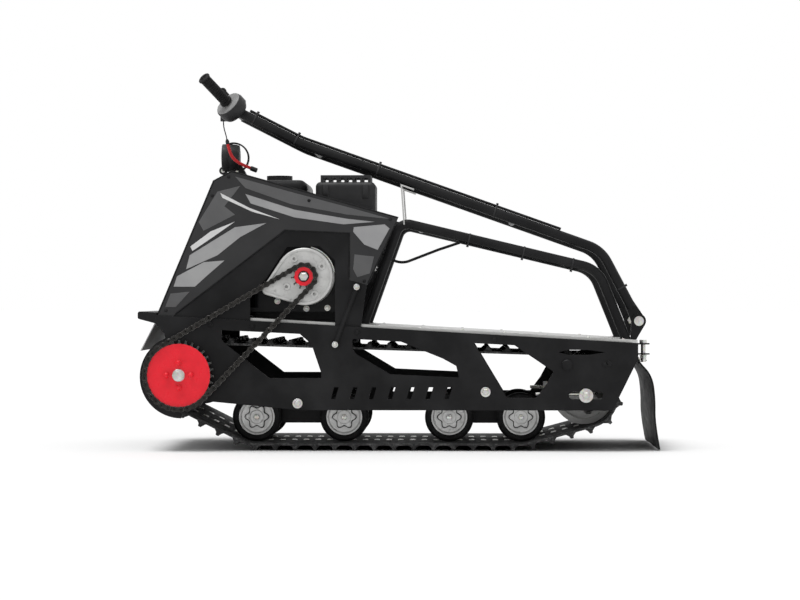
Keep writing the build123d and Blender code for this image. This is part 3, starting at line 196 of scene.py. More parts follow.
def powder_coat(name, base, worn):
    look = Look(name, base, 0.42, 0.0, Specular_IOR_Level=0.14)
    dust = look.noise(7, 6)
    speckle = look.noise(420, 2)
    dusty = tuple(0.75 * a + 0.25 * b for a, b in zip(base, worn))
    color = look.ramp(dust, ((0.42, base), (0.72, dusty)))
    worn_edge = look.math("MULTIPLY", look.edges(0.0018), look.spread(look.noise(55, 5), 0, 1, 0.5, 0.72))
    look.color(look.mix(worn_edge, color, (*worn, 1)))
    look.rough(look.math("ADD", dust, speckle), 0.33, 0.52, 0.75, 1.2)
    return look.grained(look.noise(850, 2), 0.00012, 0.55, 0.0012)


def brushed_metal(name, light, dark, roughness, stretch, metallic=1.0):
    look = Look(name, light, roughness, metallic)
    grain = look.noise(160, 6, look.stretched(stretch))
    cloud = look.noise(9, 5)
    color = look.ramp(grain, ((0.3, dark), (0.65, light)))
    stained = tuple(0.78 * value for value in light)
    look.color(look.mix(look.spread(cloud, 0, 0.6, 0.5, 0.75), color, (*stained, 1)))
    haze = look.math("ADD", grain, cloud)
    look.rough(haze, roughness - 0.1, roughness + 0.14, 0.7, 1.3)
    return look.grained(grain, 0.00008, 0.5, 0.0008)


def zinc_plate():
    look = Look("bright_steel", (0.6, 0.6, 0.58), 0.3, 1.0)
    spangle = look.cells(240, "Color")
    cloud = look.noise(38, 5)
    base = look.ramp(cloud, ((0.35, (0.62, 0.62, 0.6)), (0.7, (0.44, 0.43, 0.4))))
    look.color(look.mix(0.12, base, spangle, "OVERLAY"))
    look.rough(cloud, 0.2, 0.44)
    return look.grained(look.noise(700, 3), 0.00006, 0.5, 0.0006)


def cast_metal(name, light, dark, metallic):
    look = Look(name, light, 0.46, metallic)
    grit = look.noise(620, 3)
    cloud = look.noise(24, 5)
    base = look.ramp(cloud, ((0.3, light), (0.75, dark)))
    grime = look.spread(look.noise(60, 6), 0, 0.75, 0.58, 0.8)
    look.color(look.mix(grime, base, (0.12, 0.115, 0.11, 1)))
    look.rough(grit, 0.36, 0.6)
    return look.grained(grit, 0.00025, 0.6, 0.0014)


def oiled_chain():
    look = Look("chain_steel", (0.07, 0.068, 0.064), 0.34, 1.0)
    cloud = look.noise(90, 5)
    # Lighter edges on the chain: partly rubbed steel, partly a painted highlight
    rubbed = look.edges(0.0008)
    base = look.ramp(cloud, ((0.3, (0.014, 0.014, 0.013)), (0.7, (0.045, 0.043, 0.041))))
    look.color(look.mix(rubbed, base, (0.26, 0.25, 0.24, 1)))
    look.rough(cloud, 0.24, 0.5)
    return look.grained(look.noise(500, 3), 0.00005, 0.5, 0.0005)


def gloss_paint(name, base, deep, wheel=None):
    """Rubbed paint; on a wheel, given as its centre and painted radius, the rest is bare oily steel."""
    look = Look(name, base, 0.36, 0.0, Coat_Weight=0.15, Coat_Roughness=0.1, Specular_IOR_Level=0.25)
    cloud = look.noise(30, 5)
    color = look.ramp(cloud, ((0.35, base), (0.75, deep)))
    rubbed = look.math("MULTIPLY", look.edges(0.0016), look.spread(look.noise(120, 4), 0, 0.8, 0.48, 0.66))
    color = look.mix(rubbed, color, (0.25, 0.23, 0.22, 1))
    if wheel:
        (x, z), painted = wheel
        shift = {"Vector": look.place, "Location": (-x * MM, 0, -z * MM), "Scale": (1, 0, 1)}
        flat = look.add("ShaderNodeMapping", shift).outputs["Vector"]
        reach = look.add("ShaderNodeVectorMath", {0: flat}, operation="LENGTH").outputs["Value"]
        bare = look.spread(reach, 0, 1, (painted - 0.5) * MM, (painted + 0.5) * MM)
        steel = look.mix(look.edges(0.0012), (0.022, 0.022, 0.021, 1), (0.4, 0.4, 0.38, 1))
        color = look.mix(bare, color, steel)
    look.color(color)
    look.rough(cloud, 0.22, 0.4)
    return look.grained(look.noise(500, 2), 0.00008, 0.4, 0.001)


def heat_steel():
    look = Look("exhaust_steel", (0.2, 0.17, 0.15), 0.48, 0.9)
    tint = look.noise(18, 5)
    look.color(look.ramp(tint, (
        (0.3, (0.24, 0.21, 0.19)), (0.5, (0.17, 0.13, 0.1)),
        (0.62, (0.1, 0.085, 0.1)), (0.75, (0.22, 0.15, 0.09)),
    )))
    look.rough(look.noise(140, 4), 0.36, 0.62)
    return look.grained(look.noise(450, 3), 0.0001, 0.5, 0.0008)


def moulded(name, base, pale, grain=900, depth=0.00012, roughness=0.5):
    look = Look(name, base, roughness, 0.0, Specular_IOR_Level=0.35)
    cloud = look.noise(16, 5)
    look.color(look.ramp(cloud, ((0.35, base), (0.75, pale))))
    look.rough(look.noise(70, 4), roughness - 0.08, roughness + 0.12)
    return look.grained(look.cells(grain), depth, 0.6, 0.0008)


def rubber(name, base, dusty, roughness=0.72, shine=0.14):
    look = Look(name, base, roughness, 0.0, Specular_IOR_Level=shine)
    powder = look.math("MULTIPLY", look.noise(26, 7), look.noise(190, 3))
    look.color(look.ramp(powder, ((0.22, base), (0.42, dusty))))
    look.rough(look.noise(45, 4), roughness - 0.12, roughness + 0.12)
    return look.grained(look.noise(380, 5), 0.0003, 0.6, 0.001)


def satin_paint(name, base, pale):
    """Sheet metal paint or film with a fine orange peel and a little snow dust."""
    look = Look(name, base, 0.36, 0.0, Coat_Weight=0.06, Coat_Roughness=0.2, Specular_IOR_Level=0.25)
    cloud = look.noise(9, 6)
    fleck = look.noise(480, 2)
    color = look.ramp(cloud, ((0.4, base), (0.72, pale)))
    rubbed = look.math("MULTIPLY", look.edges(0.0016), look.spread(look.noise(70, 4), 0, 0.6, 0.5, 0.7))
    look.color(look.mix(rubbed, color, (0.3, 0.3, 0.3, 1)))
    look.rough(look.math("ADD", cloud, fleck), 0.28, 0.46, 0.75, 1.2)
    return look.grained(look.noise(800, 2), 0.00008, 0.5, 0.001)


def woven_webbing():
    look = Look("red_webbing", (0.8, 0.02, 0.025), 0.75, 0.0, Sheen_Weight=0.2)
    weft = {"Vector": look.place, "Scale": 260, "Distortion": 1.0}
    wave = look.add("ShaderNodeTexWave", weft).outputs["Fac"]
    cross = look.add("ShaderNodeTexWave", {"Vector": look.stretched((0, 0, 1)), "Scale": 200}).outputs["Fac"]
    weave = look.math("MULTIPLY", wave, cross)
    look.color(look.ramp(weave, ((0.1, (0.62, 0.012, 0.016)), (0.7, (0.92, 0.04, 0.045)))))
    return look.grained(weave, 0.0003, 0.7)


def clear_glass():
    look = Look("clear_lens", (0.92, 0.94, 0.95), 0.05, 0.0, Transmission_Weight=1.0, IOR=1.46)
    look.rough(look.noise(30, 4), 0.03, 0.1)
    return look.grained(look.noise(60, 2), 0.00005, 0.3)


def dial_print():
    look = Look("dial_face", (0.04, 0.04, 0.045), 0.45)
    cloud = look.noise(90, 4)
    look.color(look.ramp(cloud, ((0.3, (0.03, 0.03, 0.034)), (0.8, (0.06, 0.06, 0.065)))))
    return look.grained(look.noise(900, 2), 0.00004, 0.4)


def white_print():
    look = Look("white_print", (0.8, 0.8, 0.78), 0.5)
    cloud = look.noise(200, 3)
    look.color(look.ramp(cloud, ((0.3, (0.82, 0.82, 0.8)), (0.8, (0.66, 0.66, 0.64)))))
    return look.grained(look.noise(1500, 2), 0.00002, 0.3)


RED = ((0.95, 0.012, 0.03), (0.82, 0.009, 0.024))
DRIVE_PAINTED = 90
OUTPUT_PAINTED = 27
LOOKS = {
    "black_coat": powder_coat("black_coat", (0.0075, 0.0075, 0.008), (0.06, 0.06, 0.062)),
    "hood_paint": satin_paint("hood_paint", (0.021, 0.021, 0.022), (0.03, 0.03, 0.031)),
    "deck_sheet": brushed_metal("deck_sheet", (0.56, 0.56, 0.55), (0.42, 0.42, 0.41), 0.42, (0.08, 1, 1)),
    "red_paint": gloss_paint("red_paint", *RED),
    "bright_steel": zinc_plate(),
    "cast_alloy": cast_metal("cast_alloy", (0.6, 0.6, 0.59), (0.4, 0.4, 0.39), 0.8),
    "chain_steel": oiled_chain(),
    "engine_paint": powder_coat("engine_paint", (0.011, 0.011, 0.012), (0.09, 0.09, 0.09)),
    "exhaust_steel": heat_steel(),
    "black_plastic": moulded("black_plastic", (0.01, 0.01, 0.011), (0.02, 0.02, 0.021)),
    "light_plastic": moulded("light_plastic", (0.56, 0.56, 0.55), (0.44, 0.44, 0.43)),
    "track_rubber": rubber("track_rubber", (0.018, 0.018, 0.0185), (0.13, 0.13, 0.13), shine=0.3),
    "roller_tyre": rubber("roller_tyre", (0.009, 0.009, 0.0095), (0.03, 0.03, 0.03)),
    "soft_rubber": rubber("soft_rubber", (0.008, 0.008, 0.0085), (0.022, 0.022, 0.022), 0.6),
    "dial_face": dial_print(),
    "clear_lens": clear_glass(),
    "red_webbing": woven_webbing(),
}
WHITE_PRINT = white_print()
# Cast alloy made paler for the roller hubs and their caps, to offset the shade under the frame: painted light
LIT_HUB_ALLOY = cast_metal("lit_hub_alloy", (0.84, 0.84, 0.83), (0.62, 0.62, 0.61), 0.35)
GREY_PLASTIC = moulded("grey_plastic", (0.3, 0.3, 0.3), (0.22, 0.22, 0.22))
# A paler, barely metallic copy of the deck sheet for the front deflector, to offset the shade it sits in:
# painted light
LIT_DEFLECTOR_SHEET = brushed_metal("lit_deflector_sheet", (0.66, 0.66, 0.655), (0.52, 0.52, 0.515), 0.5, (1, 1, 0.08), 0.2)
NODE_LOOKS = {
    "front_deflector": LIT_DEFLECTOR_SHEET,
    "roller_hubs": LIT_HUB_ALLOY,
    "drive_sprocket": gloss_paint("drive_sprocket_paint", *RED, (DRIVE, DRIVE_PAINTED)),
    "output_sprocket": gloss_paint("output_sprocket_paint", *RED, (OUTPUT, OUTPUT_PAINTED)),
}
FILMS = {
    "pale_film": satin_paint("pale_film", (0.33, 0.33, 0.335), (0.4, 0.4, 0.4)),
    "grey_film": satin_paint("grey_film", (0.1, 0.1, 0.102), (0.125, 0.125, 0.127)),
    "white_film": satin_paint("white_film", (0.7, 0.7, 0.7), (0.76, 0.76, 0.76)),
}


def dress_model():
    """Gives each node the look of its material slot, or its own look where it has one."""
    for part in frame["record"]["subparts"]:
        look = NODE_LOOKS.get(part["node"], LOOKS[part["material_slot"]])
        for place in frame["nodes"][part["node"]].material_slots:
            place.material = look


# Mesh helpers: all take millimetres
class Mesh:
    """One piece's mesh, put together from turned, swept and extruded forms."""

    def __init__(self):
        self.work = bmesh.new()

    def rings(self, rings, caps=True):
        """Skin over rings of points; with caps, the first and last rings are filled."""
        rows = [[self.work.verts.new(Vector(point) * MM) for point in ring] for ring in rings]
        for lower, upper in zip(rows, rows[1:]):
            count = len(lower)
            for index in range(count):
                after = (index + 1) % count
                self.work.faces.new((lower[index], lower[after], upper[after], upper[index]))
        if caps:
            self.work.faces.new(reversed(rows[0]))
            self.work.faces.new(rows[-1])

    def turned(self, profile, origin, axis, sides=24, hollow=False):
        """Turns (radius, along) pairs about an axis through origin; a hollow one is open in the middle."""
        axis = Vector(axis).normalized()
        across, up = frame_of(axis)
        rings = []
        for radius, reach in profile:
            rings.append(circle(Vector(origin) + axis * reach, across * radius, up * radius, sides))
        if hollow:
            rings.append(rings[0])
        self.rings(rings, caps=not hollow)

    def swept(self, points, radius, sides=12, closed=False):
        """Round bar along points."""
        points = [Vector(point) for point in points]
        rings = []
        up = None
        for index, point in enumerate(points):
            before = points[index - 1] if index or closed else point
            after = points[(index + 1) % len(points)] if index + 1 < len(points) or closed else point
            run = (after - before).normalized()
            if up is None:
                up = frame_of(run)[1]
            across = up.cross(run).normalized()
            up = run.cross(across).normalized()
            rings.append(circle(point, across * radius, up * radius, sides))
        if closed:
            rings.append(rings[0])
        self.rings(rings, caps=not closed)

    def slab(self, outline, low, high, place):
        """Extrudes an outline between two levels; place turns (u, v, level) into a point."""
        self.rings([[place(u, v, level) for u, v in outline] for level in (low, high)])

    def done(self, name, slot, *replaced, body="chassis", sharp=32, material=None):
        """Makes the piece, on its body and slot, in the place of what it replaces."""
        bmesh.ops.remove_doubles(self.work, verts=self.work.verts, dist=1e-7)
        bmesh.ops.recalc_face_normals(self.work, faces=self.work.faces)
        mesh = bpy.data.meshes.new(name)
        self.work.to_mesh(mesh)
        self.work.free()
        mesh.shade_smooth()
        mesh.set_sharp_from_angle(angle=math.radians(sharp))
        mesh.materials.append(material or LOOKS[slot])
        piece = add_object(name, mesh)
        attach(piece, body)
        if replaced:
            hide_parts(*replaced)
        return piece


def frame_of(axis):
    helper = Vector((0, 0, 1)) if abs(axis.z) < 0.9 else Vector((1, 0, 0))
    across = axis.cross(helper).normalized()
    return across, axis.cross(across).normalized()


def turns(count):
    return [math.tau * index / count for index in range(count)]


def circle(centre, across, up, sides):
    return [centre + across * math.cos(a) + up * math.sin(a) for a in turns(sides)]


def square(centre, across, up):
    return [centre - across - up, centre + across - up, centre + across + up, centre - across + up]


def sideways(x, z, y):
    return (x, y, z)


def bolt_circle(centre, y, radius, count):
    """Places round an axis that runs across the machine."""
    return circle(Vector(sideways(*centre, y)), Vector((radius, 0, 0)), Vector((0, 0, radius)), count)


def hex_bolt(mesh, place, axis, size, depth, washer=True):
    """Hex head with a chamfered crown, on a washer where it has one."""
    start = 0.0
    if washer:
        mesh.turned([(size * 1.35, 0), (size * 1.35, 1.2), (size * 1.28, 1.6)], place, axis, 24)
        start = 1.6
    top = start + depth
    mesh.turned([(size, start), (size, top - 1.2), (size * 0.86, top)], place, axis, 6)
    mesh.turned([(size * 0.62, top), (size * 0.5, top + 0.5)], place, axis, 18)


def dome(mesh, place, axis, radius, height, sides=20, steps=5):
    """Round head with a small flat on top."""
    profile = [(radius, 0)]
    for index in range(1, steps):
        angle = math.pi / 2 * index / steps
        profile.append((radius * math.cos(angle), height * math.sin(angle)))
    profile.append((radius * 0.08, height))
    mesh.turned(profile, place, axis, sides)


# Belts and chains: the line round a row of wheels
class Loop:
    """Closed line of tangent runs and arcs round (centre, radius) wheels, listed against the clock."""

    def __init__(self, wheels, grow=0.0):
        runs = []
        for (a, a_radius), (b, b_radius) in zip(wheels, wheels[1:] + wheels[:1]):
            run = (Vector(b) - Vector(a))
            sine = (a_radius - b_radius) / run.length
            cosine = math.sqrt(1 - sine * sine)
            run.normalize()
            out = Vector((run.y * cosine + run.x * sine, -run.x * cosine + run.y * sine))
            runs.append((Vector(a) + out * (a_radius + grow), Vector(b) + out * (b_radius + grow)))
        self.pieces = []
        for index, (start, end) in enumerate(runs):
            self.pieces.append(((end - start).length, start, end, None, 0.0))
            centre, radius = wheels[(index + 1) % len(wheels)]
            leave = runs[(index + 1) % len(runs)][0]
            first = math.atan2(end.y - centre[1], end.x - centre[0])
            turn = (math.atan2(leave.y - centre[1], leave.x - centre[0]) - first) % math.tau
            if 0.001 < turn < math.tau - 0.001:
                self.pieces.append(((radius + grow) * turn, Vector(centre), radius + grow, first, turn))
        self.length = sum(piece[0] for piece in self.pieces)

    def at(self, length):
        """Point and outward normal at a length along the line."""
        length %= self.length
        for size, start, end, first, turn in self.pieces:
            if length > size:
                length -= size
                continue
            if first is None:
                run = (end - start).normalized()
                return start + run * length, Vector((run.y, -run.x))
            angle = first + turn * length / size
            normal = Vector((math.cos(angle), math.sin(angle)))
            return start + normal * end, normal
        return self.at(0.0)

    def length_at(self, target, count=4000):
        """Length along the line nearest to a point."""
        lengths = [self.length * index / count for index in range(count)]
        return min(lengths, key=lambda length: (self.at(length)[0] - Vector(target)).length)


# Roller chain: plates, rollers and pins
CHAIN_PITCH = 19.05
CHAIN_INNER = 6.4
CHAIN_SHIFT = 1.3
CHAIN_PLATE = 2.5
CHAIN_PIN = ((2.9, 6.0), (2.9, 9.6), (2.3, 10.2))
CHAIN_ROLLER = ((5.7, -5.0), (5.7, 5.0))
LINK_END = 8.0
LINK_WAIST = 5.2
LINK_STEPS = 8
DRIVE_TEETH = 32
OUTPUT_TEETH = 11


def link_plate(mesh, start, end, low, high):
    """Figure-eight link plate between two pins."""
    run = (end - start).normalized()
    side = Vector((-run.y, run.x))
    outline = []
    for centre, turn in ((end, 1), (start, -1)):
        for step in range(LINK_STEPS + 1):
            angle = math.pi * (step / LINK_STEPS - 0.5)
            outline.append(centre + (run * math.cos(angle) + side * math.sin(angle)) * LINK_END * turn)
        outline.append((start + end) / 2 + side * LINK_WAIST * turn)
    mesh.slab(outline, CHAIN_Y + low, CHAIN_Y + high, sideways)


def make_chain():
    """Roller chain, link by link, round the two sprockets."""
    drive_radius, output_radius = (
        CHAIN_PITCH / 2 / math.sin(math.pi / teeth) for teeth in (DRIVE_TEETH, OUTPUT_TEETH)
    )
    line = Loop([(OUTPUT, output_radius), (DRIVE, drive_radius)])
    count = 2 * round(line.length / CHAIN_PITCH / 2)
    away = (Vector(DRIVE) - Vector(OUTPUT)).normalized()
    start = line.length_at(Vector(DRIVE) + away * drive_radius)
    pins = [line.at(start + line.length * index / count)[0] for index in range(count)]
    mesh = Mesh()
    for index, pin in enumerate(pins):
        after = pins[(index + 1) % count]
        low = CHAIN_INNER + (-CHAIN_SHIFT if index % 2 else CHAIN_SHIFT)
        for side in (1, -1):
            link_plate(mesh, pin, after, *sorted((side * low, side * (low + CHAIN_PLATE))))
        place = (pin.x, CHAIN_Y, pin.y)
        mesh.turned(CHAIN_ROLLER, place, (0, 1, 0), 16)
        for side in (1, -1):
            mesh.turned(CHAIN_PIN, place, (0, side, 0), 12)
    mesh.done("roller_chain", "chain_steel", "drive_chain")


# Track: belt with cleats in blocks, and clips. Blocks on the belt are (half length, height, inset) levels.
TRACK_HALF = 250
BELT = 6
BELT_STEPS = 300
DRUM = 89
ROLLER = 71
RETURN_WHEEL = 25
CLEAT_PITCH = 57
CLEAT_BLOCKS = (
    ((-248, -186), (-150, -64), (-44, 44), (64, 150), (186, 248)),
    ((-248, -212), (-176, -96), (-64, 64), (96, 176), (212, 248)),
    ((-248, -164), (-132, -72), (72, 132), (164, 248)),
)
CLEAT = ((10, -1, 0), (7, 4, 1), (4.6, 13.6, 3), (3.6, 15, 4.4))
WEB = ((17, -1, 0), (4, 10, 1.4))
WEB_INSET = 12
WEB_HALF = 3
RIB = ((8, -0.5, 2), (5, 2.4, 3))
CLIPS = 84
CLIP = ((8, 3, 0), (8, -0.6, 0), (5, -1.6, 0))
CLIP_Y = 74
CLIP_HALF = 12


def track_line(grow):
    wheels = [(DRIVE, DRUM), *[(centre, ROLLER) for centre in ROLLERS], (IDLER, DRUM), (RETURN, RETURN_WHEEL)]
    return Loop(wheels, grow)


def belt_block(mesh, point, normal, low, high, levels):
    """Tapered block across the belt between two sides."""
    forward = Vector((-normal.y, normal.x))
    middle, half_width = (low + high) / 2, (high - low) / 2
    rings = []
    for half, height, inset in levels:
        foot = point + normal * height
        across = Vector((forward.x, 0, forward.y)) * half
        rings.append(square(Vector((foot.x, middle, foot.y)), across, Vector((0, half_width - inset, 0))))
    mesh.rings(rings)


def make_track():
    line = track_line(BELT)
    mesh = Mesh()
    section = ((-TRACK_HALF, -BELT), (TRACK_HALF, -BELT), (TRACK_HALF, 0), (-TRACK_HALF, 0))
    rings = []
    for index in range(BELT_STEPS):
        point, normal = line.at(line.length * index / BELT_STEPS)
        rings.append([(point.x + normal.x * h, y, point.y + normal.y * h) for y, h in section])
    mesh.rings([*rings, rings[0]], caps=False)
    count = round(line.length / CLEAT_PITCH)
    for index in range(count):
        point, normal = line.at(line.length * index / count)
        for low, high in CLEAT_BLOCKS[index % len(CLEAT_BLOCKS)]:
            belt_block(mesh, point, normal, low, high, CLEAT)
            for y in (low + WEB_INSET, high - WEB_INSET):
                belt_block(mesh, point, normal, y - WEB_HALF, y + WEB_HALF, WEB)
        belt_block(mesh, point, normal, -TRACK_HALF, TRACK_HALF, RIB)
    mesh.done("cleated_track", "track_rubber", "track_belt", sharp=40)


def make_track_clips():
    """Steel clips on the belt's cross rods, on the inside where the drive wheels run."""
    line = track_line(0.0)
    mesh = Mesh()
    for index in range(CLIPS):
        point, normal = line.at(line.length * index / CLIPS)
        for y in (-CLIP_Y, CLIP_Y):
            belt_block(mesh, point, normal, y - CLIP_HALF, y + CLIP_HALF, CLIP)
    mesh.done("track_clips", "bright_steel")


# Safety lanyard: a thin cord and a webbing strap, each on the model's own route
LANYARD_ROUTE = ((-519.5, -110, 955), (-519.5, -110, 939), (-510.863, -112, 911.742), (-508, -112, 896))
STRAP_ROUTE = ((-508, -112, 896), (-504, -112, 874), (-492, -112, 846), (-466, -112, 828), (-440, -112, 818))


def cord_curve(name, route, radius, slot):
    curve = bpy.data.curves.new(name, "CURVE")
    curve.dimensions = "3D"
    curve.bevel_depth = radius * MM
    curve.bevel_resolution = 5
    curve.use_fill_caps = True
    spline = curve.splines.new("NURBS")
    spline.points.add(len(route) - 1)
    for point, place in zip(spline.points, route):
        point.co = (*(Vector(place) * MM), 1)
    spline.order_u = 3
    spline.use_endpoint_u = True
    spline.resolution_u = 14
    curve.materials.append(LOOKS[slot])
    piece = add_object(name, curve)
    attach(piece, "steering_arm")
    return piece


def make_lanyard():
    cord = cord_curve("lanyard_line", LANYARD_ROUTE, 1.6, "soft_rubber")
    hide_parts("lanyard_cord")
    strap = cord_curve("lanyard_webbing", STRAP_ROUTE, 4.6, "red_webbing")
    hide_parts("lanyard_strap")
    crimp = Mesh()
    run = Vector(STRAP_ROUTE[1]) - Vector(STRAP_ROUTE[0])
    crimp.turned([(2.6, -7), (3.4, -6), (5.6, -1), (5.6, 7), (5.0, 8)], STRAP_ROUTE[0], run, 20)
    ferrule = crimp.done("lanyard_ferrule", "black_plastic", body="steering_arm")


# Handlebar: ribbed grips, turned from (radius, along) pairs
GRIP_TIP = ((16.5, 0), (18.4, 1.5), (18.4, 5), (16.2, 6.5))
GRIP_RIB = ((14.2, 0), (16.0, 1.2), (16.0, 4.2), (14.2, 5.4))
GRIP_ROOT = ((15, -10), (18.4, -8), (18.4, -2), (15.4, 0))
RIB_START = 8.0
RIB_PITCH = 7.0
RIB_STOP = 12


def grip_line(side):
    """Root and end of a grip on the bar."""
    root = Vector((BAR_CENTRE[0], side * BAR_HALF_WIDTH, BAR_CENTRE[1]))
    return root, Vector((GRIP_END[0], side * GRIP_END[1], GRIP_END[2]))


def make_grips():
    mesh = Mesh()
    for side in (-1, 1):
        root, end = grip_line(side)
        profile = list(GRIP_TIP)
        reach = RIB_START
        while reach < GRIP_LENGTH - RIB_STOP:
            profile += [(radius, reach + along) for radius, along in GRIP_RIB]
            reach += RIB_PITCH
        profile += [(radius, GRIP_LENGTH + along) for radius, along in GRIP_ROOT]
        mesh.turned(profile, end, root - end, 28)
    mesh.done("ribbed_grips", "soft_rubber", "grips", sharp=50, body="steering_arm")


# Throttle drum at the root of the left grip, with a pale face round the grip
DRUM_PROFILE = ((20, -18), (36, -16), (41, -8), (42, 0), (42, 20), (40.5, 22.5))
FACE_PROFILE = ((13, 22.5), (40, 22.5), (40, 24.5), (38, 26), (14, 26))


def make_throttle():
    root, end = grip_line(-1)
    drum = Mesh()
    drum.turned(DRUM_PROFILE, root, end - root, 48)
    drum.done("throttle_drum", "black_plastic", body="steering_arm")
    face = Mesh()
    face.turned(FACE_PROFILE, root, end - root, 48)
    face.done("throttle_face", "light_plastic", material=GREY_PLASTIC, body="steering_arm")


# Gauge: bezel, ticks, needle. Marks are (outward, sideways) corners on the dial.
GAUGE_BEZEL = ((35.9, 0.2), (35.9, 1.9), (37.5, 3.0), (39.5, 3.0), (40.5, 2.0), (38.5, 0.4))
DIAL_RISE = 1.0
TICKS = 30
TICK_ARC = 250
TICK_GROUP = 5
TICK_HEIGHT = 0.4
LONG_TICK = ((25.5, -0.7), (25.5, 0.7), (33, 0.7), (33, -0.7))
SHORT_TICK = ((29, -0.35), (29, 0.35), (33, 0.35), (33, -0.35))
NEEDLE = ((-7, -1.2), (-7, 1.2), (26, 0.3), (26, -0.3))
NEEDLE_ANGLE = -115
NEEDLE_HEIGHT = 0.5
NEEDLE_HUB = ((4, 0), (4, 1.2), (3, 1.6))


def dial_mark(mesh, face, degrees, corners, height):
    """Thin raised mark on the dial, at an angle from its top."""
    angle = math.radians(degrees)
    across = Vector((0, 1, 0))
    out = GAUGE_AXIS.cross(across) * math.cos(angle) + across * math.sin(angle)
    turn = out.cross(GAUGE_AXIS)
    ring = [face + out * r + turn * s for r, s in corners]
    mesh.rings([ring, [point + GAUGE_AXIS * height for point in ring]])


def make_gauge():
    low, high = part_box("gauge_face")
    face = (low + high) / 2 / MM + GAUGE_AXIS * DIAL_RISE
    rim = Mesh()
    rim.turned(GAUGE_BEZEL, face, GAUGE_AXIS, 48, hollow=True)
    rim.done("gauge_bezel", "black_plastic", body="steering_arm")
    ticks = Mesh()
    for index in range(TICKS + 1):
        corners = SHORT_TICK if index % TICK_GROUP else LONG_TICK
        dial_mark(ticks, face, TICK_ARC * (index / TICKS - 0.5), corners, TICK_HEIGHT)
    ticks.done("gauge_ticks", "dial_face", material=WHITE_PRINT, body="steering_arm")
    needle = Mesh()
    base = face + GAUGE_AXIS * NEEDLE_HEIGHT
    dial_mark(needle, base, NEEDLE_ANGLE, NEEDLE, NEEDLE_HEIGHT)
    needle.turned(NEEDLE_HUB, base, GAUGE_AXIS, 20)
    needle.done("gauge_needle", "red_paint", body="steering_arm")


# Hood: rubber edging, a painted design of plain angular shards, and screws
HOOD_EDGES = (
    ((-690, 394), (-531, 772.6), (-479.5, 799.7), (-3.6, 667), (-90, 479)),
    ((-641, 392), (-327, 631.6), (-142, 623), (-143, 496)),
)
SHARDS = {
    "pale_film": (
        ((-600, 560), (-470, 640), (-380, 652), (-455, 612), (-520, 560), (-610, 520)),
        ((-636, 500), (-560, 540), (-500, 545), (-552, 500), (-585, 470), (-646, 470)),
        ((-440, 735), (-300, 690), (-150, 664), (-70, 655), (-160, 648), (-300, 668), (-425, 708)),
        ((-130, 640), (-42, 648), (-28, 636), (-62, 575), (-100, 590), (-132, 627)),
    ),
    "grey_film": (
        ((-655, 450), (-600, 456), (-640, 412), (-670, 412)),
        ((-470, 785), (-300, 738), (-120, 690), (-24, 663), (-150, 676), (-310, 706), (-440, 752)),
        ((-128, 562), (-72, 556), (-84, 508), (-120, 497), (-132, 520)),
        ((-574, 655), (-520, 742), (-455, 758), (-500, 700), (-470, 676), (-560, 630)),
    ),
    "white_film": (
        ((-512, 738), (-430, 696), (-340, 662), (-420, 684), (-506, 724)),
        ((-598, 585), (-540, 628), (-470, 656), (-530, 614), (-592, 572)),
    ),
}
FILM = 0.3
FILM_STEP = 0.15
EDGING = 2.6
SCREW = 5
SCREW_HEIGHT = 2.6
SCREW_SOCKET = ((1.6, 2.2), (1.6, 3.0))
HOOD_SCREWS = ((-668, 402), (-535, 730), (-488, 784), (-258, 716), (-26, 662), (-100, 486))


def make_hood():
    for layer, (tone, outlines) in enumerate(SHARDS.items()):
        top = HOOD_Y + FILM + FILM_STEP * layer
        mesh = Mesh()
        for points in outlines:
            for side in (-1, 1):
                mesh.slab(points, side * HOOD_Y, side * top, sideways)
        mesh.done("hood_" + tone, "hood_paint", material=FILMS[tone])
    trim = Mesh()
    for side in (-1, 1):
        for edge in HOOD_EDGES:
            trim.swept([(x, side * (HOOD_Y - 1), z) for x, z in edge], EDGING, 10)
    trim.done("hood_edging", "soft_rubber")
    screws = Mesh()
    for side in (-1, 1):
        for x, z in HOOD_SCREWS:
            dome(screws, (x, side * (HOOD_Y + 0.2), z), (0, side, 0), SCREW, SCREW_HEIGHT)
            screws.turned(SCREW_SOCKET, (x, side * HOOD_Y, z), (0, side, 0), 6)
    screws.done("hood_screws", "black_coat")


# Head light: deep bezel with its lugs, light cells behind the lens, rounded back and carrying hoop
LIGHT_FRONT = LIGHT[0] - 17
LIGHT_BEZEL = ((37, -1.2), (37.2, 13), (38.6, 16), (40.8, 16), (41.6, 14.4), (41.6, -4), (41.1, -5), (39, -5))
LIGHT_BACK = ((40.9, 13.5), (40.5, 17), (39.6, 27), (37, 32), (31, 35), (8, 36))
LIGHT_LUGS = ((-531, 816, 12), (-528, 887, 7))
LUG_HALF_WIDTH = 9
CELL_SEAT = 7.6
CELL_PLATE = ((36, 0), (36, 0.5), (35, 0.8))
CELL = ((10, 0), (9.6, 2.2), (8.6, 2.4), (5, 0.8), (3, 0.8), (2.2, 1.8))
CELL_CIRCLE = 22
CELLS_ROUND = 6
CARRIER_START = 118
CARRIER_ARC = 190
CARRIER_STEPS = 30
CARRIER_MIDDLE = 44.3
CARRIER_HALF = 2.3
CARRIER_HALF_WIDTH = 9
BRACKET_BOLT = (-490, 15, 812)


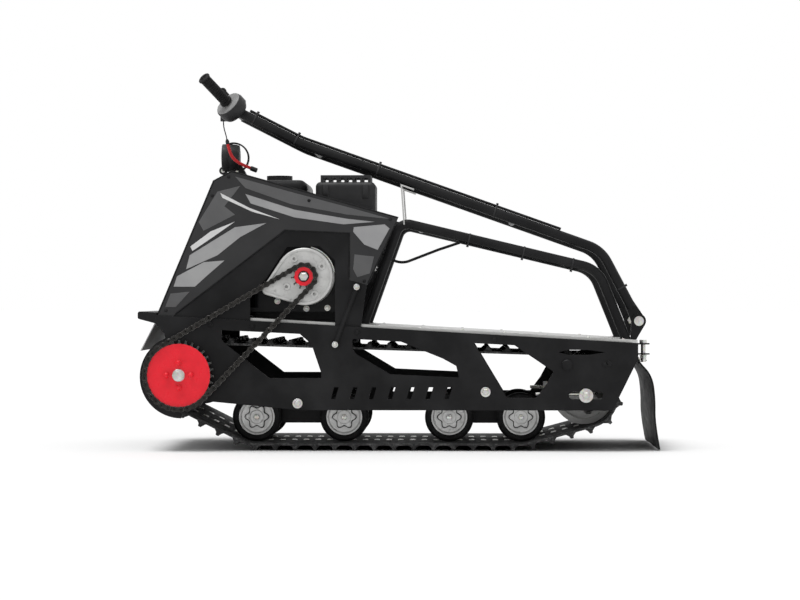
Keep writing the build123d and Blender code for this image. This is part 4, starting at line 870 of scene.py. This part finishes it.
def make_lamp():
    front = (LIGHT_FRONT, 0, LIGHT[1])
    bezel = Mesh()
    bezel.turned(LIGHT_BEZEL, front, (-1, 0, 0), 48, hollow=True)
    half = LUG_HALF_WIDTH
    for x, z, radius in LIGHT_LUGS:
        profile = ((radius - 1, -half), (radius, 1 - half), (radius, half - 1), (radius - 1, half))
        bezel.turned(profile, (x, 0, z), (0, 1, 0), 28)
    bezel.turned(LIGHT_BACK, front, (1, 0, 0), 48)
    bezel.done("lamp_bezel", "black_plastic")
    cells = Mesh()
    seat = LIGHT_FRONT + CELL_SEAT
    cells.turned(CELL_PLATE, (seat, 0, LIGHT[1]), (-1, 0, 0), 48)
    for index in range(CELLS_ROUND + 1):
        reach = CELL_CIRCLE if index else 0
        angle = math.tau * index / CELLS_ROUND
        place = (seat - 0.6, reach * math.cos(angle), LIGHT[1] + reach * math.sin(angle))
        cells.turned(CELL, place, (-1, 0, 0), 20)
    cells.done("lamp_cells", "bright_steel")
    hoop = Mesh()
    rows = []
    for step in range(CARRIER_STEPS + 1):
        angle = math.radians(CARRIER_START - CARRIER_ARC * step / CARRIER_STEPS)
        out = Vector((math.cos(angle), 0, math.sin(angle)))
        middle = Vector((LIGHT[0], 0, LIGHT[1])) + out * CARRIER_MIDDLE
        rows.append(square(middle, Vector((0, CARRIER_HALF_WIDTH, 0)), out * CARRIER_HALF))
    hoop.rings(rows)
    hoop.done("lamp_hoop", "black_coat")
    bolts = Mesh()
    lug_x, lug_z, _ = LIGHT_LUGS[0]
    x, y, z = BRACKET_BOLT
    for side in (-1, 1):
        dome(bolts, (x, side * y, z), (0, side, 0), 6, 4)
        hex_bolt(bolts, (lug_x, side * LUG_HALF_WIDTH, lug_z), (0, side, 0), 4.4, 3)
    bolts.done("lamp_bolts", "bright_steel")


# Cable ties on the left arm tube and hoop, and the wire under the hoop
ARM_TIES = ((-425, True), (-305, True), (-66, True), (273.5, True), (640, False))
HOOP_TIES = (200, 358, 500)
HOOP_WIRE = ((174, 16.0), (190, 17.2), (358, 17.2), (505, 17.2), (518, 15.0), (524, 8.0))
CABLE = 4
WIRE = 3.0
TIE_STEPS = 36
STRAP_MIDDLE = 0.75
STRAP_HALF = 0.65
STRAP_HALF_WIDTH = 2.4
TIE_LOCK = ((0, 3.6), (3.4, 3.6), (4.4, 2.8))


def on_line(line, x):
    """Point and direction on a line of (x, z) points at an x."""
    for start, end in zip(line, line[1:]):
        if min(start[0], end[0]) <= x <= max(start[0], end[0]):
            run = Vector((end[0] - start[0], 0, end[1] - start[1]))
            share = (x - start[0]) / run.x
            return Vector((x, -TUBE_Y, start[1] + share * run.z)), run.normalized()
    raise ValueError(x)


def tie(mesh, centre, run, side, cable, offset):
    """Strap round a tube and the cable that lies on one side of it, with its lock."""
    up = Vector((0, 1, 0)).cross(run) * side
    circles = [(Vector((0, 0, 0)), TUBE)]
    if cable:
        circles.append((up * offset, cable))
    rows = []
    for out in circle(Vector((0, 0, 0)), up, Vector((0, 1, 0)), TIE_STEPS):
        middle, radius = max(circles, key=lambda item: item[0].dot(out) + item[1])
        place = centre + middle + out * (radius + STRAP_MIDDLE)
        rows.append(square(place, run * STRAP_HALF_WIDTH, out * STRAP_HALF))
    mesh.rings([*rows, rows[0]], caps=False)
    reach = max(item[0].dot(up) + item[1] for item in circles) + 1.0
    lock = []
    for level, half in TIE_LOCK:
        lock.append(square(centre + up * (reach + level), run * half, Vector((0, half, 0))))
    mesh.rings(lock)


def make_ties():
    straps = Mesh()
    for x, cable in ARM_TIES:
        centre, run = on_line(ARM_LINE, x)
        upward = -1 if run.x < 0 else 1
        tie(straps, centre, run, -upward, CABLE if cable else 0, TUBE + CABLE + 0.3)
    straps.done("arm_ties", "black_plastic", body="steering_arm")
    straps = Mesh()
    for x in HOOP_TIES:
        centre, run = on_line(HOOP_LINE, x)
        tie(straps, centre, run, 1, WIRE, TUBE + WIRE + 0.2)
    straps.done("hoop_ties", "black_plastic")
    wire = Mesh()
    line = []
    for x, drop in HOOP_WIRE:
        centre, run = on_line(HOOP_LINE, x)
        line.append(centre + Vector((0, 1, 0)).cross(run) * drop)
    wire.swept(line, WIRE, 14)
    wire.done("hoop_wire", "soft_rubber")


# Weld beads where crossbars meet tubes and where the hoops stand on the deck
CROSSBARS = (("chassis", (57.3, 644.6), HOOP_SLOPE), ("chassis", (485.5, 542), HOOP_SLOPE),
             ("steering_arm", (330, 666.7), ARM_SLOPE), ("steering_arm", (-250, 873), ARM_SLOPE))
HOOP_FEET = ((-106, HOOP_LINE[1]), (654, HOOP_LINE[2]))
CROSSBAR = 11.9
BAR_BEAD = 1.7
FOOT_BEAD = 1.9
WELD_STEPS = 40
WELD_RIPPLES = 20


def make_welds():
    beads = {"chassis": Mesh(), "steering_arm": Mesh()}
    for body, (x, z), slope in CROSSBARS:
        run = Vector((1, 0, slope)).normalized()
        up = Vector((-run.z, 0, run.x))
        for side in (-1, 1):
            points = []
            for angle in turns(WELD_STEPS):
                ripple = CROSSBAR + 0.35 * math.sin(angle * WELD_RIPPLES)
                depth = math.sqrt((TUBE + 0.6) ** 2 - (ripple * math.sin(angle)) ** 2)
                place = Vector((x, side * (TUBE_Y - depth), z))
                points.append(place + run * ripple * math.cos(angle) + up * ripple * math.sin(angle))
            beads[body].swept(points, BAR_BEAD, 8, closed=True)
    for x, knee in HOOP_FEET:
        foot = Vector((x, 0, deck_top(x)))
        run = (Vector((knee[0], 0, knee[1])) - foot).normalized()
        up = Vector((-run.z, 0, run.x))
        for side in (-1, 1):
            points = []
            for angle in turns(WELD_STEPS):
                ripple = TUBE + 0.7 + 0.3 * math.sin(angle * WELD_RIPPLES)
                place = foot + up * ripple * math.cos(angle)
                place += run * ((deck_top(place.x) + 0.9 - place.z) / (run.z - DECK_SLOPE * run.x))
                points.append(place + Vector((0, side * TUBE_Y + ripple * math.sin(angle), 0)))
            beads["chassis"].swept(points, FOOT_BEAD, 8, closed=True)
    for body, mesh in beads.items():
        mesh.done(body + "_welds", "black_coat", body=body)


# Bolts of the side plates: bright at the pivots and braces, black along the cross members; deck rivets
BLACK_BOLTS = ((-540, 362), (-420, 356), (-120, 340), (270, 318), (585, 248), (597, 252))
BRACE_ENDS = ((-121, 469), (-182.6, 305))
DECK_RIVETS = (-60, 60, 180, 300, 420, 540, 640)
RIVET_Y = 238
PIVOT_OUT = PLATE_OUT + 8
BRACE_OUT = PLATE_OUT + 17.2
PIVOT_BOLT = 9.5
IDLER_BOLT = 10.5
PLATE_BOLT = 6.5
PLATE_BOLT_HEIGHT = 4.5
RETURN_CAP = ((15.6, 0), (15.6, 7), (13, 9.4), (6, 10.6))


def make_bolts():
    bright = Mesh()
    black = Mesh()
    for side in (-1, 1):
        axis = (0, side, 0)
        for x, z in BOGIE_PIVOTS:
            hex_bolt(bright, (x, side * PIVOT_OUT, z), axis, PIVOT_BOLT, 5, False)
        hex_bolt(bright, sideways(*IDLER, side * PIVOT_OUT), axis, IDLER_BOLT, 6, False)
        for x, z in BRACE_ENDS:
            hex_bolt(bright, (x, side * BRACE_OUT, z), axis, PLATE_BOLT, PLATE_BOLT_HEIGHT)
        for x, z in BLACK_BOLTS:
            hex_bolt(black, (x, side * PLATE_OUT, z), axis, PLATE_BOLT, PLATE_BOLT_HEIGHT)
        black.turned(RETURN_CAP, sideways(*RETURN, side * PLATE_OUT), axis, 30)
        for x in DECK_RIVETS:
            dome(bright, (x, side * RIVET_Y, deck_top(x)), (0, 0, 1), 5, 2.2, 14)
    bright.done("bright_bolts", "bright_steel")
    black.done("black_bolts", "black_coat")


# Chain drive: washers and nut on the shafts, domed sprocket bolts
DOMES = 4
DOME_CIRCLE = 35
DOME_SEAT = 1.2
DOME_FOOT = ((9, 0), (9, DOME_SEAT), (8.4, 1.5))
DOME_RADIUS = 7.6
DOME_HEIGHT = 6.5
SPROCKET_OUT = CHAIN_Y - 9
SHAFT_OUT = CHAIN_Y - 5
WASHER_TOP = 2.8
OUTPUT_WASHER = ((15.5, 0), (15.5, 2.2), (14.6, WASHER_TOP))
DRIVE_WASHER = ((17.8, 0), (17.8, 2), (17, 2.6))
OUTPUT_NUT = 10.2


def make_drive_details():
    left = (0, -1, 0)
    domes = Mesh()
    for place in bolt_circle(DRIVE, SPROCKET_OUT, DOME_CIRCLE, DOMES):
        domes.turned(DOME_FOOT, place, left, 24)
        dome(domes, place - Vector((0, DOME_SEAT, 0)), left, DOME_RADIUS, DOME_HEIGHT)
    domes.done("sprocket_bolts", "red_paint")
    washer = Mesh()
    washer.turned(OUTPUT_WASHER, sideways(*OUTPUT, SHAFT_OUT), left, 32)
    washer.done("output_washer", "black_coat")
    nuts = Mesh()
    hex_bolt(nuts, sideways(*OUTPUT, SHAFT_OUT - WASHER_TOP), left, OUTPUT_NUT, 7, False)
    nuts.turned(DRIVE_WASHER, sideways(*DRIVE, SHAFT_OUT), left, 40)
    nuts.done("drive_nuts", "bright_steel")


# Roller hubs: a dark rubber ring round the boss, painted shade for the gap round the cap; six-lobed cap and
# nut
HUB_DISH = 148.4
HUB_BOSS = 152.4
HUB_LOBES = 6
HUB_WAVE = 4.6
# Dark ring a little wider than the cap: it paints the shade of the gap round the cap
SHADE_RING_RADIUS = 31.4
SHADE_RING_LEVELS = ((SHADE_RING_RADIUS, HUB_DISH), (SHADE_RING_RADIUS, HUB_BOSS + 0.4))
HUB_CAP = 28.6
CAP_TOP = HUB_BOSS + 4.2
CAP_LEVELS = ((HUB_CAP, HUB_BOSS), (HUB_CAP, HUB_BOSS + 3), (HUB_CAP - 1.4, CAP_TOP))
COLLAR_TOP = 3.4
CAP_COLLAR = ((20, 0), (20, 2.4), (18.4, COLLAR_TOP))
HUB_NUT = 9
LOBE_STEPS = 72


def lobed(mesh, x, z, side, levels):
    """Six-lobed plate on a roller's axis, from (mean radius, distance from the middle) pairs."""
    rings = []
    for mean, level in levels:
        ring = []
        for angle in turns(LOBE_STEPS):
            radius = mean + HUB_WAVE * math.cos(HUB_LOBES * angle)
            ring.append((x + radius * math.cos(angle), side * level, z + radius * math.sin(angle)))
        rings.append(ring)
    mesh.rings(rings)


def make_hubs():
    shade_rings = Mesh()
    caps = Mesh()
    nuts = Mesh()
    for x, z in ROLLERS:
        for side in (-1, 1):
            lobed(shade_rings, x, z, side, SHADE_RING_LEVELS)
            lobed(caps, x, z, side, CAP_LEVELS)
            caps.turned(CAP_COLLAR, (x, side * CAP_TOP, z), (0, side, 0), 36)
            hex_bolt(nuts, (x, side * (CAP_TOP + COLLAR_TOP), z), (0, side, 0), HUB_NUT, 5, False)
    shade_rings.done("hub_shade_rings", "soft_rubber")
    # The caps take the hub alloy made paler to offset the shade they sit in: painted light
    caps.done("hub_caps", "cast_alloy", material=LIT_HUB_ALLOY)
    nuts.done("hub_nuts", "bright_steel")


# Engine: bolts at the foot, on the starter and behind the cowl, clamp strip by the gear case,
# spark plug with its boot, filter latches
FOOT_BOLTS = ((-354.7, 428.5), (-271, 407), (-210, 409))
FOOT_Y = -190
CLAMP = 85
CLAMP_Y = -262
CLAMP_FROM = 8
CLAMP_ARC = 70
CLAMP_STEPS = 16
PLUG_SEAT = Vector((-94.3, 0, 573))
PLUG_AXIS = Vector((0.906, 0, 0.423))
PLUG = ((9, 0), (9, 7), (7.5, 9), (5, 9), (5, 14))
BOOT = (
    (6, 12), (8.5, 14), (8.5, 22), (7.2, 24), (8.2, 26),
    (8.2, 30), (7.2, 32), (8.2, 34), (8.2, 44), (5, 48),
)
STARTER_BOLTS = 6
STARTER_CIRCLE = 78
STARTER_Y = 220
COWL_BOLTS = ((-165, -60, 640), (-165, 90, 640))
LATCH_SIDES = ((-200, -1), (-40, 1))
LATCH_X = (-215, -100)
LATCH_Z = 745
LATCH = ((0, 9, 20), (3, 9, 20), (4.4, 7, 17))


def make_engine_details():
    bright = Mesh()
    for x, z in FOOT_BOLTS:
        hex_bolt(bright, (x, FOOT_Y, z), (0, -1, 0), 6.5, 6)
    arc = []
    for step in range(CLAMP_STEPS + 1):
        angle = math.radians(CLAMP_FROM + CLAMP_ARC * step / CLAMP_STEPS)
        arc.append((OUTPUT[0] + CLAMP * math.cos(angle), CLAMP_Y, OUTPUT[1] + CLAMP * math.sin(angle)))
    bright.swept(arc, 2.4, 10)
    bright.turned(PLUG, PLUG_SEAT, PLUG_AXIS, 6)
    for place in bolt_circle(OUTPUT, STARTER_Y, STARTER_CIRCLE, STARTER_BOLTS):
        hex_bolt(bright, place, (0, 1, 0), 4.5, 3.5)
    for place in COWL_BOLTS:
        hex_bolt(bright, place, (1, 0, 0), 5.5, 4)
    bright.done("engine_bolts", "bright_steel")
    boot = Mesh()
    boot.turned(BOOT, PLUG_SEAT, PLUG_AXIS, 20)
    for y, out in LATCH_SIDES:
        for x in LATCH_X:
            rows = []
            for level, wide, tall in LATCH:
                middle = Vector((x, y + out * level, LATCH_Z))
                rows.append(square(middle, Vector((wide, 0, 0)), Vector((0, 0, tall))))
            boot.rings(rows)
    boot.done("engine_fittings", "black_plastic")


# Rear flap: one soft curve down to the snow, a little wavy at its foot
FLAP_CORNERS = ((680, 269.5), (680, 258), (721, 216), (730, 150), (729, 79), (743.5, 4))
FLAP_HALF = 2.5
FLAP_HALF_WIDTH = 240
FLAP_WAVE = 1.6
FLAP_STEPS = 8
FLAP_COLUMNS = 48


def smooth_line(points, steps):
    """Points on the smooth line that a row of corners holds, from its first to its last."""
    corners = [Vector(point) for point in points]
    joints = [corners[0], *[(a + b) / 2 for a, b in zip(corners[1:], corners[2:-1])], corners[-1]]
    line = [corners[0]]
    for start, corner, end in zip(joints, corners[1:], joints[1:]):
        for step in range(1, steps + 1):
            share = step / steps
            line.append(start.lerp(corner, share).lerp(corner.lerp(end, share), share))
    return line


def make_flap():
    line = smooth_line(FLAP_CORNERS, FLAP_STEPS)
    near, far = [], []
    for index, point in enumerate(line):
        run = (line[min(index + 1, len(line) - 1)] - line[max(index - 1, 0)]).normalized()
        out = Vector((-run.y, run.x)) * FLAP_HALF
        near.append((point - out, index / len(line)))
        far.append((point + out, index / len(line)))
    outline = near + far[::-1]
    rings = []
    for column in range(FLAP_COLUMNS + 1):
        y = FLAP_HALF_WIDTH * (2 * column / FLAP_COLUMNS - 1)
        wave = FLAP_WAVE * math.sin(y / 43) * math.cos(y / 130)
        rings.append([(point.x + wave * share ** 3, y, point.y) for point, share in outline])
    flap = Mesh()
    flap.rings(rings)
    flap.done("snow_flap", "soft_rubber", "rear_flap")


# Rear end: clamp strip on the flap, hitch nut and pin clip
STRIP = ((682.7, 256.5), (685.7, 256.5), (685.7, 268.5), (682.7, 268.5))
STRIP_HALF_WIDTH = 226
STRIP_BOLT = (685.7, 262.5)
STRIP_BOLTS = range(-210, 211, 60)
HITCH_FOOT = (716, 0, 268)
HITCH_WASHER = ((11, 0), (11, 1.6), (10.4, 2))
HITCH_NUT = ((10.5, 2), (10.5, 10), (9.2, 11.4))
PIN_CLIP = Vector((716, 0.2, 252.5))
CLIP_REACH = Vector((10, 0, 0))
CLIP_RISE = Vector((0, 0, 3.5))


def make_rear_details():
    strip = Mesh()
    strip.slab(STRIP, -STRIP_HALF_WIDTH, STRIP_HALF_WIDTH, sideways)
    for y in STRIP_BOLTS:
        hex_bolt(strip, sideways(*STRIP_BOLT, y), (1, 0, 0), 4.6, 3.4)
    strip.turned(HITCH_WASHER, HITCH_FOOT, (0, 0, -1), 24)
    strip.turned(HITCH_NUT, HITCH_FOOT, (0, 0, -1), 6)
    strip.swept(circle(PIN_CLIP, CLIP_REACH, CLIP_RISE, 24), 1.2, 8, closed=True)
    strip.done("rear_fittings", "bright_steel")


# Floor: a wide white ground
FLOOR_HALF = 60
FLOOR_TONE = 0.93


def make_stage():
    mesh = bpy.data.meshes.new("floor")
    corners = square(Vector((0, 0, 0)), Vector((FLOOR_HALF, 0, 0)), Vector((0, FLOOR_HALF, 0)))
    mesh.from_pydata(corners, [], [(0, 1, 2, 3)])
    mesh.materials.append(Look("white_floor", [FLOOR_TONE] * 3, 1.0, Specular_IOR_Level=0.0).material)
    floor = add_object("floor", mesh)


# Light: a wide soft sun and a studio sky, paler overhead than at the horizon
SUN_FROM = (-0.25, -0.12, 1.0)
SUN_STRENGTH = 1.9
SUN_ANGLE = 30
SKY = {"From Min": -0.1, "From Max": 0.8, "To Min": 0.25, "To Max": 0.62}


def make_light():
    data = bpy.data.lights.new("key", "SUN")
    data.energy = SUN_STRENGTH
    data.angle = math.radians(SUN_ANGLE)
    add_object("key", data).rotation_euler = aim(SUN_FROM, (0, 0, 0))
    world = bpy.data.worlds.new("studio")
    bpy.context.scene.world = world
    world.use_nodes = True
    tree = world.node_tree
    background = tree.nodes["Background"]
    background.inputs["Color"].default_value = (1, 1, 1, 1)
    place = add_node(tree, "ShaderNodeTexCoord").outputs["Generated"]
    height = add_node(tree, "ShaderNodeSeparateXYZ", {0: place}).outputs["Z"]
    level = add_node(tree, "ShaderNodeMapRange", {"Value": height, **SKY}).outputs["Result"]
    paths = add_node(tree, "ShaderNodeLightPath").outputs
    for ray in ("Is Camera Ray", "Is Glossy Ray", "Is Transmission Ray"):
        level = add_node(tree, "ShaderNodeMath", {0: paths[ray], 1: level}, operation="MAXIMUM").outputs[0]
    tree.links.new(level, background.inputs["Strength"])
    bpy.context.scene.view_settings.view_transform = "Standard"


make_camera()
dress_model()
make_lanyard()
make_chain()
make_track()
make_track_clips()
make_grips()
make_throttle()
make_gauge()
make_hood()
make_lamp()
make_ties()
make_welds()
make_bolts()
make_drive_details()
make_hubs()
make_engine_details()
make_flap()
make_rear_details()
make_stage()
make_light()
